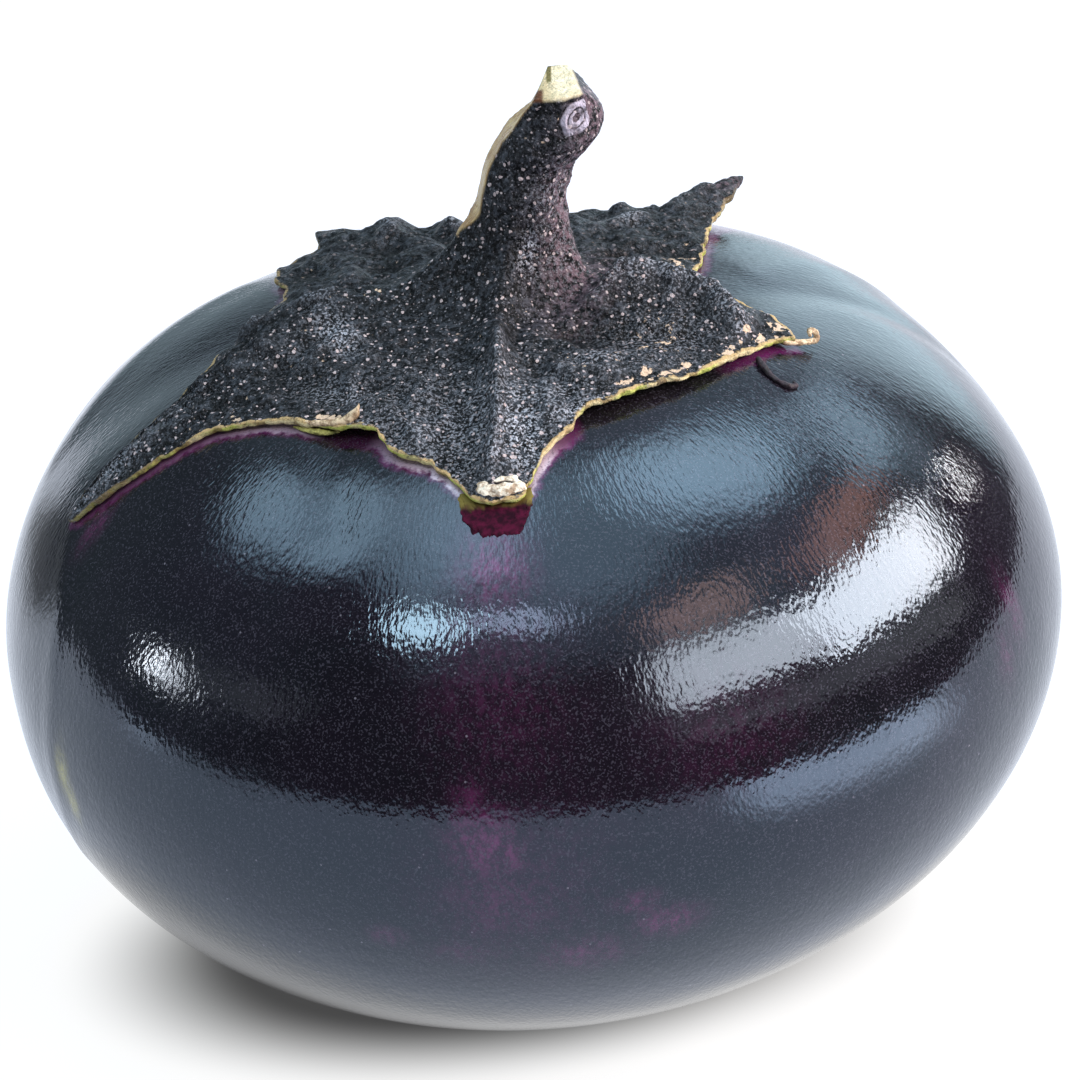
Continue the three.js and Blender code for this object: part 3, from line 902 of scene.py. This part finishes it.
def scar_mask(tree, place, grit):
    """Pale ring and button of the scar, worn in places."""
    gap = attribute(tree, "scar_gap")
    ring = times(tree, span(tree, gap, 1.0, 1.2), span(tree, gap, 1.9, 1.65))
    button = times(tree, span(tree, gap, 0.34, 0.48), span(tree, gap, 0.98, 0.82))
    pale = times(tree, maths(tree, "MAXIMUM", ring, button), span(tree, grit, 0.3, 0.5, 0.55, 1.0))
    return times(tree, pale, span(tree, noise(tree, place, 700.0, 2.0), 0.36, 0.56, 0.15, 0.95))


def cut_colour(tree, streaky):
    """Cream wood of the cut end, weathered to the left, with a split and a stain, by its own axes in mm."""
    apart = add_node(tree, "SeparateXYZ", {"Vector": attribute(tree, "own_place", "Vector")})
    x, y = apart.outputs[0], apart.outputs[1]
    cream = blend(tree, span(tree, streaky, 0.35, 0.7), CALYX_TONES["cream"], CALYX_TONES["pale_cream"])
    cream = blend(tree, span(tree, x, 0.5, -0.8, 0.0, 0.75), cream, CALYX_TONES["weathered"])
    split_gap = maths(tree, "ABSOLUTE", maths(tree, "SUBTRACT", x, -0.35))
    split = times(tree, span(tree, split_gap, 0.38, 0.16), span(tree, y, -0.5, 0.6))
    cream = blend(tree, split, cream, CALYX_TONES["split"])
    stain = times(tree, span(tree, y, -1.4, -2.4), span(tree, x, -0.7, -1.2))
    return blend(tree, stain, cream, CALYX_TONES["stain"])


def margin_colour(tree, base, place, streaky):
    """Straw crumbs near the calyx's margin, its tan rim, and the green and brown of its torn edge."""
    crumbs = span(tree, noise(tree, place, 950.0, 3.0, 0.65), 0.2, 0.8, -0.75, 0.75)
    straw = span(tree, plus(tree, attribute(tree, "straw"), crumbs), 0.62, 0.80)
    base = blend(tree, straw, base, CALYX_TONES["straw"])
    rim_tone = attribute(tree, "rim_tone")
    rim = plus(tree, attribute(tree, "rim"), span(tree, streaky, 0.3, 0.7, -0.4, 0.3))
    base = blend(tree, times(tree, span(tree, rim, 0.62, 0.92), rim_tone), base, CALYX_TONES["tan"])
    ripe = span(tree, noise(tree, place, 160.0), 0.42, 0.6)
    torn = blend(tree, ripe, CALYX_TONES["green"], CALYX_TONES["ripe"])
    brown = span(tree, noise(tree, place, 520.0, 2.0), 0.50, 0.60, 0.0, 0.75)
    torn = blend(tree, brown, torn, CALYX_TONES["brown"])
    bare = times(tree, attribute(tree, "wall"), span(tree, streaky, 0.30, 0.42, 0.25, 1.0))
    return blend(tree, times(tree, bare, rim_tone), base, torn)


# Colours of the calyx and stem, from the deepest layer up. The third and fourth are painted light and shade
# of the relief, the sixth is painted glints, and the pale fleck colours are partly painted glints
CALYX_TONES = {
    "black": (0.0014, 0.0020, 0.0030), "grit": (0.038, 0.044, 0.056), "painted_crest_light": (0.055, 0.058, 0.070),
    "painted_hollow_shade": (0.0008, 0.0012, 0.0018), "pink": (0.15, 0.10, 0.125), "painted_shine": (0.43, 0.45, 0.53),
    "small_fleck": (0.30, 0.29, 0.33), "large_fleck": (0.52, 0.44, 0.46), "straw": (0.60, 0.45, 0.34),
    "tan": (0.46, 0.33, 0.17), "green": (0.46, 0.50, 0.12), "ripe": (0.68, 0.58, 0.34),
    "brown": (0.17, 0.10, 0.045), "scar": (0.50, 0.46, 0.57), "wood": (0.34, 0.20, 0.09),
    "pale_wood": (0.56, 0.42, 0.22), "cream": (0.64, 0.55, 0.37), "pale_cream": (0.80, 0.73, 0.56),
    "weathered": (0.42, 0.35, 0.20), "split": (0.14, 0.12, 0.04), "stain": (0.09, 0.035, 0.015),
}


def leather_material():
    """Near-black leathery calyx and stem: painted light and shade, pale flecks, green and straw margin, cut
    wood.
    """
    material, tree, surface = new_material("calyx_leather")
    place = object_place(tree)
    grit = noise(tree, place, 1300.0, 4.0, 0.7)
    glint = noise(tree, place, 3000.0, 3.0, 0.7)
    streaky = noise(tree, place, 420.0, 4.0, 0.7)
    texture = attribute(tree, "texture")
    base = blend(tree, span(tree, grit, 0.47, 0.63), CALYX_TONES["black"], CALYX_TONES["grit"])
    # Painted light from the relief: a lighter tone on its tops, and a painted near-black shade in its
    # valleys
    base = blend(tree, span(tree, texture, 0.0, 0.6, 0.0, 0.25), base, CALYX_TONES["painted_crest_light"])
    painted_hollow_shade = span(tree, texture, -0.05, -0.6, 0.0, 0.9)
    base = blend(tree, painted_hollow_shade, base, CALYX_TONES["painted_hollow_shade"])
    pink = times(tree, attribute(tree, "pink"), span(tree, grit, 0.42, 0.60))
    base = blend(tree, pink, base, CALYX_TONES["pink"])
    # Painted glints: pale specks where the relief rises and in the spots of painted highlight
    painted_crest_glint = span(tree, texture, 0.35, 1.1, 0.05, 0.50)
    painted_shine = times(tree, span(tree, glint, 0.49, 0.60), plus(tree, attribute(tree, "sheen"), painted_crest_glint))
    base = blend(tree, painted_shine, base, CALYX_TONES["painted_shine"])

    # Pale flecks: partly real warts, partly painted glints of the bumpy surface; fewer behind, painted
    # dimmer as shade in valleys
    speckled = times(tree, attribute(tree, "speckled"), span(tree, painted_hollow_shade, 0.0, 0.9, 1.0, 0.35))
    small = times(tree, fleck_mask(tree, place, 2300.0, 0.15, 0.27, 0.20), speckled)
    large = times(tree, fleck_mask(tree, place, 1150.0, 0.14, 0.27, 0.15), speckled)
    base = blend(tree, times(tree, small, 0.50), base, CALYX_TONES["small_fleck"])
    base = blend(tree, times(tree, large, 0.9), base, CALYX_TONES["large_fleck"])
    base = margin_colour(tree, base, place, streaky)
    base = blend(tree, scar_mask(tree, place, grit), base, CALYX_TONES["scar"])
    wood = blend(tree, span(tree, streaky, 0.35, 0.65), CALYX_TONES["wood"], CALYX_TONES["pale_wood"])
    base = blend(tree, attribute(tree, "peel"), base, wood)
    base = blend(tree, attribute(tree, "cut"), base, cut_colour(tree, streaky))

    normal = bump(tree, noise(tree, place, 560.0, 3.0, 0.6), 0.00075)
    normal = bump(tree, grit, 0.00045, normal)
    set_inputs(tree, surface, {
        "Base Color": base, "IOR": 1.20,
        "Roughness": span(tree, noise(tree, place, 130.0, 3.0), 0.3, 0.7, 0.26, 0.44),
        "Normal": bump(tree, large, 0.00012, normal),
    })
    return material


def fibre_material(name, dark, pale):
    """Dry plant fibre streaked between two tones, also used near-black as a painted shadow."""
    material, tree, surface = new_material(name)
    streaky = noise(tree, object_place(tree), 900.0, 4.0, 0.7)
    set_inputs(tree, surface, {
        "Base Color": blend(tree, span(tree, streaky, 0.38, 0.60), dark, pale),
        "Roughness": 0.6, "Normal": bump(tree, streaky, 0.0003),
    })
    return material


# Threads by azimuth, polar angle, height over the skin in mm and radius in mm
TIP_THREAD = [
    (70.2, 32.8, 0.8, 0.50), (71.8, 34.0, 0.8, 0.42), (73.0, 34.9, 0.8, 0.32), (73.9, 35.5, 0.9, 0.32),
    (75.0, 36.1, 1.2, 0.38), (75.6, 35.6, 1.7, 0.36), (74.9, 35.0, 1.8, 0.34), (74.2, 35.3, 1.4, 0.28),
]
# Near-black thread lying on the skin below the right lobe's tip: a painted shadow of the tip thread
PAINTED_THREAD_SHADOW = [
    (62.4, 31.6, 0.3, 0.50), (60.8, 32.8, 0.3, 0.46), (59.7, 34.1, 0.2, 0.34), (59.2, 35.5, 0.2, 0.28),
    (59.6, 36.8, 0.2, 0.38), (60.7, 37.3, 0.2, 0.32), (61.2, 36.7, 0.2, 0.20),
]
TORN_STRIP = [
    (-46, 30.7, 0.2, 0.2), (-41, 30.6, 0.4, 0.34), (-37.5, 30.2, 0.4, 0.30), (-35, 29.6, 0.3, 0.15),
]
TORN_LIP = [
    (-48, 30.9, 0.9, 0.15), (-43, 30.5, 1.2, 0.30), (-38, 30.0, 1.5, 0.36), (-34.5, 29.5, 1.7, 0.42),
    (-32.3, 29.0, 2.0, 0.55), (-31.0, 28.6, 2.5, 0.45), (-30.3, 28.2, 3.1, 0.25), (-30.0, 28.0, 3.5, 0.08),
]
THREAD_SIDES = 10
THREAD_STEPS = 8
THREAD_UNEVEN = 0.4
THREAD_WAVE = 0.7
THREAD_THINNEST = 0.05
# A direction that no thread runs along, which sets where its sides lie
THREAD_SIDEWAYS = (0.3, 0.2, 1.0)


def make_thread(name, spots, material):
    """Uneven tube along spots over the skin."""
    spots = np.array(spots)
    middle = above_skin(np.radians(spots[:, 1]), np.radians(spots[:, 0]), spots[:, 2])
    rows = np.column_stack([middle, spots[:, 3]])
    rows = [2 * rows[0] - rows[1], *rows, 2 * rows[-1] - rows[-2]]
    share = np.arange(THREAD_STEPS) / THREAD_STEPS
    runs = [catmull_rom(*rows[k:k + 4], share) for k in range(len(spots) - 1)]
    line = np.concatenate([*runs, rows[-2][None]])
    along = unit(np.gradient(line[:, :3], axis=0))
    side = unit(np.cross(along, THREAD_SIDEWAYS))
    other = np.cross(along, side)
    turns = 2 * np.pi * np.arange(THREAD_SIDES) / THREAD_SIDES
    ends = np.sin(np.pi * np.linspace(0.06, 0.94, len(line))) ** 0.3
    radius = np.maximum(line[:, 3] * ends, THREAD_THINNEST)[:, None, None]
    rings = side[:, None] * np.cos(turns)[:, None] + other[:, None] * np.sin(turns)[:, None]
    uneven = lattice_noise((line[:, None, :3] + rings) / THREAD_WAVE, seed=61)
    points = line[:, None, :3] + rings * radius * (1 + THREAD_UNEVEN * uneven[..., None])
    everything = np.concatenate([line[:1, :3], points.reshape(-1, 3), line[-1:, :3]])
    return make_mesh(name, to_part(everything), ring_faces(len(line), THREAD_SIDES), material, {})


# Dull red patch below the front tip: angles and fray in degrees, lift in mm
RED_PATCH = {
    "azimuth": -0.8, "half": 6.4, "narrowing": 0.42, "start": 37.5, "end": 44.0, "olive_end": 40.1,
    "olive_fade": 1.4, "corner": 1.5, "lift": 0.07, "sunk": 0.12, "fray": 0.5, "columns": 90, "rows": 60,
}


def make_red_patch(name, material):
    """Thin film on the skin, sunk into it at its outline."""
    down, across = np.meshgrid(
        np.linspace(0, 1, RED_PATCH["rows"]), np.linspace(-1, 1, RED_PATCH["columns"]), indexing="ij",
    )
    coarse = lattice_noise(side_by_side(5 * across, 4 * down, 0 * down), seed=81)
    fine = lattice_noise(side_by_side(14 * across, 11 * down, 0 * down), seed=82)
    fray = RED_PATCH["fray"] * coarse + 0.5 * RED_PATCH["fray"] * fine
    half = RED_PATCH["half"] * (1 - RED_PATCH["narrowing"] * down ** 2.5) + fray
    reach = RED_PATCH["end"] - RED_PATCH["corner"] * across ** 4 + fray
    polar = np.radians(RED_PATCH["start"] + (reach - RED_PATCH["start"]) * down)
    azimuth = np.radians(RED_PATCH["azimuth"] + half * across)
    inset = np.minimum(1 - np.abs(across), 1 - down)
    lift = RED_PATCH["lift"] * (2 * smooth(inset, 0, RED_PATCH["sunk"]) - 1)
    points = above_skin(polar, azimuth, lift)
    columns = RED_PATCH["columns"]
    corners = [r * columns + c for r in range(RED_PATCH["rows"] - 1) for c in range(columns - 1)]
    faces = [(k, k + columns, k + columns + 1, k + 1) for k in corners]
    olive_end = RED_PATCH["olive_end"]
    olive = 1 - smooth(np.degrees(polar) + fray, olive_end - RED_PATCH["olive_fade"], olive_end)
    return make_mesh(name, to_part(points.reshape(-1, 3)), faces, material, {"olive": olive.ravel()})


def red_patch_material():
    """Matte dark red with an olive top."""
    material, tree, surface = new_material("dull_red_patch")
    grain = noise(tree, object_place(tree), 1300.0, 3.0, 0.6)
    base = blend(tree, span(tree, grain, 0.35, 0.7), (0.014, 0.0006, 0.006), (0.060, 0.003, 0.020))
    base = blend(tree, attribute(tree, "olive"), base, (0.16, 0.13, 0.035))
    set_inputs(tree, surface, {"Base Color": base, "Specular IOR Level": 0.05, "Roughness": 0.5})
    return material


# Scab at the front tip: its place in degrees, then in mm its half sizes across, along and up, its height,
# its lumps, and its crack's half width, shift, wandering and reach
SCAB = {
    "azimuth": 0.2, "polar": 37.6, "size": (2.5, 1.35, 0.7), "height": 0.8, "rough": 0.4, "lump": 1.1,
    "small_lump": 0.5, "crack": 0.2, "shift": 0.2, "wander": 0.5, "wave": 1.6, "reach": 2.0,
}
SCAB_SIDES = 96
SCAB_RINGS = 40


def make_scab(name, material):
    """Lumpy pale button with a crack across it, where the calyx's tip has dried."""
    turn = 2 * np.pi * np.arange(SCAB_SIDES) / SCAB_SIDES
    fall = np.pi * np.arange(1, SCAB_RINGS) / SCAB_RINGS
    fall, turn = np.meshgrid(fall, turn, indexing="ij")
    ball = side_by_side(np.sin(fall) * np.cos(turn), np.sin(fall) * np.sin(turn), np.cos(fall))
    ball = np.concatenate([[[0, 0, 1.0]], ball.reshape(-1, 3), [[0, 0, -1.0]]])
    body = ball * SCAB["size"]
    lump = lattice_noise(body / SCAB["lump"], seed=71)
    lump = lump + 0.5 * lattice_noise(body / SCAB["small_lump"], seed=72)
    wander = SCAB["wander"] * lattice_noise(body * [1, 0, 0] / SCAB["wave"], seed=73)
    crack_line = body[:, 1] - SCAB["shift"] - wander
    cracked = gauss(crack_line, SCAB["crack"]) * smooth(SCAB["reach"] - np.abs(body[:, 0]), 0, 0.8)
    body = body * (1 + SCAB["rough"] * (0.5 * lump - cracked * (ball[:, 2] > 0)))[:, None]
    azimuth, polar = np.radians([SCAB["azimuth"]]), np.radians([SCAB["polar"]])
    origin = skin_point(polar, azimuth)[0]
    up = skin_normal(polar, azimuth)[0]
    out = skin_point(polar + NORMAL_STEP, azimuth)[0] - origin
    out = unit(out - up * (out @ up))
    axes = np.array([np.cross(out, up), -out, up])
    points = to_part(origin + up * SCAB["height"] + body @ axes)
    attributes = {"dark": np.clip(cracked - 0.5 * lump, 0, 1)}
    return make_mesh(name, points, ring_faces(SCAB_RINGS - 1, SCAB_SIDES), material, attributes)


def scab_material():
    """Pale streaky pith, dark in its crack."""
    material, tree, surface = new_material("scab_pith")
    streaky = noise(tree, object_place(tree), 1100.0, 3.0, 0.7)
    base = blend(tree, span(tree, streaky, 0.35, 0.62), (0.30, 0.21, 0.14), (0.80, 0.73, 0.62))
    base = blend(tree, span(tree, attribute(tree, "dark"), 0.25, 0.6), base, (0.02, 0.012, 0.012))
    set_inputs(tree, surface, {"Base Color": base, "Roughness": 0.7, "Normal": bump(tree, streaky, 0.0003)})
    return material


FLOOR_HALF = 0.75
FLOOR_TONE = 0.10
FLOOR_GLOW = 0.92
FLOOR_COLOUR = (1.0, 1.07, 1.22)
FLOOR_SIDES = 96
# Painted soft shadow where the fruit rests: middle and half sizes in mm, slant, shares of the half sizes
# where it starts and ends, and its darkest glow
SHADE = {"x": 1, "y": -2, "wide": 42, "deep": 27.7, "skew": 0.19, "start": 0.72, "end": 1.25, "least": 0.06}
# Painted light on the table, brighter wedges for the windows' reflections and a darker wedge of painted
# shade:
# azimuth, half width in degrees, change of glow, start and end in mm
TABLE_PAINTED_LIGHT = [
    (62, 24, 3.0, 140, 260), (-83, 6, 0.9, 300, 500), (-133, 11, -0.85, 130, 260),
]


def floor_material():
    """White table that glows, a little cooler away from the fruit, with a painted shadow and painted wedges.
    """
    material, tree, surface = new_material("pale_floor")
    place = object_place(tree)
    apart = add_node(tree, "SeparateXYZ", {"Vector": place})
    x = maths(tree, "SUBTRACT", apart.outputs[0], SHADE["x"] * MM)
    y = maths(tree, "SUBTRACT", apart.outputs[1], SHADE["y"] * MM)
    slanted = maths(tree, "SUBTRACT", y, times(tree, x, SHADE["skew"]))
    squares = []
    for distance, half in ((x, SHADE["wide"]), (slanted, SHADE["deep"])):
        share = maths(tree, "DIVIDE", distance, half * MM)
        squares.append(times(tree, share, share))
    reach = maths(tree, "SQRT", plus(tree, *squares))
    # Painted soft shadow under the fruit
    glow = span(tree, reach, SHADE["start"], SHADE["end"], SHADE["least"], FLOOR_GLOW)
    # Painted wedges of light and shade on the table
    for azimuth, half, radiance, near, far in TABLE_PAINTED_LIGHT:
        ahead = dot(tree, place, (*facing(azimuth), 0))
        aside = maths(tree, "ABSOLUTE", dot(tree, place, (*facing(azimuth + 90), 0)))
        slope = maths(tree, "DIVIDE", aside, maths(tree, "MAXIMUM", ahead, MM))
        tangent = math.tan(math.radians(half))
        wedge = span(tree, slope, 1.2 * tangent, 0.6 * tangent)
        glow = plus(tree, glow, times(tree, wedge, span(tree, ahead, near * MM, far * MM, 0.0, radiance)))
    set_inputs(tree, surface, {
        "Base Color": (FLOOR_TONE, FLOOR_TONE, FLOOR_TONE, 1), "Roughness": 1.0, "Specular IOR Level": 0.0,
        "Emission Color": blend(tree, span(tree, reach, 1.2, 1.8), (1.0, 1.0, 1.0), FLOOR_COLOUR),
        "Emission Strength": glow,
    })
    return material


def make_floor():
    """Round white table top under the fruit."""
    mesh = bpy.data.meshes.new("floor")
    turns = [2 * math.pi * side / FLOOR_SIDES for side in range(FLOOR_SIDES)]
    rim = [(FLOOR_HALF * math.cos(turn), FLOOR_HALF * math.sin(turn), 0) for turn in turns]
    mesh.from_pydata(rim, [], [tuple(range(FLOOR_SIDES))])
    mesh.materials.append(floor_material())
    floor = add_to_scene("floor", mesh)


# Camera: where it looks, how far off it stands and its rise, all for a square picture
CAMERA_TARGET = np.array([5.197, 3.411, 47.895])
CAMERA_DISTANCE = 560
CAMERA_RISE = 27
CAMERA_LENS = 163.95


def make_camera():
    rise = math.radians(CAMERA_RISE)
    back = np.array([0, -math.cos(rise), math.sin(rise)])
    data = bpy.data.cameras.new("camera")
    data.lens = CAMERA_LENS
    data.sensor_width = 36
    data.clip_end = 50
    camera = add_to_scene("camera", data)
    camera.location = Vector((CAMERA_TARGET + CAMERA_DISTANCE * back) * MM)
    camera.rotation_euler = (math.pi / 2 - rise, 0, 0)
    bpy.context.scene.camera = camera


def direction(azimuth, elevation):
    a, e = math.radians(azimuth), math.radians(elevation)
    return Vector((math.sin(a) * math.cos(e), -math.cos(a) * math.cos(e), math.sin(e)))


DAYLIGHT = (1.0, 0.90, 0.84)
LAMPLIGHT = (1.0, 0.42, 0.28)
ROOM_TONE = (0.70, 0.90, 1.0)
PANEL_DISTANCE = 1.4
# Panels: name, azimuth, elevation, width, height and roll in degrees, radiance, colour
PANELS = [
    ("window_bright", 92, 29, 38, 17, -14, 18.0, DAYLIGHT),
    ("window_soft", 49.5, 37, 33, 17, -5, 10.0, DAYLIGHT),
    ("window_sill", 68, 17, 74, 8, -10, 0.7, DAYLIGHT),
    ("window_left", -89.5, 14, 4.0, 7.5, 0, 30.0, DAYLIGHT),
    ("window_left_second", -83, 13.5, 2.0, 6.5, 0, 24.0, DAYLIGHT),
    ("window_left_far", -67, 22, 15, 10, 0, 0.35, DAYLIGHT),
    ("pane_front_left", -48, 53.5, 13, 9, 0, 15.0, (0.82, 0.98, 1.0)),
    ("pane_front", -17, 61, 17, 5, 0, 6.5, (0.88, 0.88, 1.0)),
    ("glint_right", 128.5, 16.5, 1.5, 8, -20, 30.0, DAYLIGHT),
    ("lamp_right", 101, 43.5, 24, 9, -8, 3.0, LAMPLIGHT),
    ("lamp_middle", 50, 54.5, 19, 9, 0, 3.6, (1.0, 0.5, 0.36)),
]


def make_panel(name, azimuth, elevation, width, height, roll, radiance, colour):
    """Soft panel seen from the fruit under a width and a height, which no camera sees."""
    data = bpy.data.lights.new(name, "AREA")
    data.shape = "RECTANGLE"
    data.size = 2 * PANEL_DISTANCE * math.tan(math.radians(width / 2))
    data.size_y = 2 * PANEL_DISTANCE * math.tan(math.radians(height / 2))
    data.energy = math.pi * data.size * data.size_y * radiance
    data.color = colour
    panel = add_to_scene(name, data)
    out = direction(azimuth, elevation)
    panel.location = Vector(FRUIT_CENTRE * MM) + out * PANEL_DISTANCE
    panel.rotation_euler = out.to_track_quat("Z", "Y").to_euler()
    panel.rotation_euler.rotate_axis("Z", math.radians(roll))
    panel.visible_camera = False


# Glows of the room: azimuth, elevation, half width, half height in degrees, radiance
GLOWS = [
    (-100, 69, 20, 13, 2.7),
    (-113, 49.5, 12, 7.5, 3.8),
    (0, 90, 22, 22, 1.9),
    (134, 64, 13, 12, 5.6),
    (136, 38, 12, 7, 3.4),
    (161, 8, 14, 24, 2.1),
    (-160, 4, 14, 18, 0.6),
    (180, 45, 30, 20, 0.6),
    (-105, 22, 36, 30, 0.12),
    (18, 62, 34, 14, 0.5),
    (105, 54, 24, 12, 0.5),
    (133, 27, 9, 8, 1.0),
]
ROOM_LIGHT = 0.07


def make_room():
    """Dim room with soft glows, which the glossy skin mirrors."""
    world = bpy.data.worlds.new("room")
    bpy.context.scene.world = world
    world.use_nodes = True
    tree = world.node_tree
    tree.nodes.clear()
    look = add_node(tree, "TexCoord", {}).outputs["Generated"]
    total = ROOM_LIGHT
    for azimuth, elevation, half_width, half_height, radiance in GLOWS:
        out = direction(azimuth, elevation)
        side = Vector((*facing(azimuth + 90), 0))
        squares = []
        for axis, half in ((side, half_width), (side.cross(out), half_height)):
            share = dot(tree, look, axis / math.sin(math.radians(half)))
            squares.append(times(tree, share, share))
        glow = span(tree, plus(tree, *squares), 1.7, 0.2, 0.0, radiance)
        in_front = maths(tree, "GREATER_THAN", dot(tree, look, out), 0.0)
        total = plus(tree, total, times(tree, glow, in_front))
    background = add_node(tree, "Background", {"Color": (*ROOM_TONE, 1), "Strength": total})
    add_node(tree, "OutputWorld", {"Surface": background.outputs[0]})
    bpy.context.scene.view_settings.view_transform = "Standard"


def corners(low_high):
    low, high = low_high
    return {"low": list(low), "high": list(high)}


edge = ragged_edge()
fruit_skin = make_fruit_skin(edge, skin_material())
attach(fruit_skin, "root")
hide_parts("fruit")
calyx_skin = make_calyx_skin(edge, leather_material())
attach(calyx_skin, "root")
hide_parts("calyx_and_stem")
tan_fibre = fibre_material("dry_fibre", (0.20, 0.12, 0.06), (0.72, 0.56, 0.38))
green_fibre = fibre_material("green_fibre", (0.16, 0.15, 0.03), (0.52, 0.50, 0.15))
# Near-black fibre for the painted shadow of the tip thread
thread_shadow_fibre = fibre_material("thread_shadow_fibre", (0.006, 0.003, 0.006), (0.020, 0.008, 0.018))
bits = [
    make_thread("tip_thread", TIP_THREAD, tan_fibre),
    make_thread("painted_thread_shadow", PAINTED_THREAD_SHADOW, thread_shadow_fibre),
    make_thread("torn_strip", TORN_STRIP, green_fibre),
    make_thread("torn_lip", TORN_LIP, tan_fibre),
    make_scab("tip_scab", scab_material()),
]
for bit in bits:
    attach(bit, "root")
    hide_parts("calyx_and_stem")
red_patch = make_red_patch("red_patch", red_patch_material())
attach(red_patch, "root")
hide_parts("fruit")
make_floor()
make_camera()
for panel in PANELS:
    make_panel(*panel)
make_room()
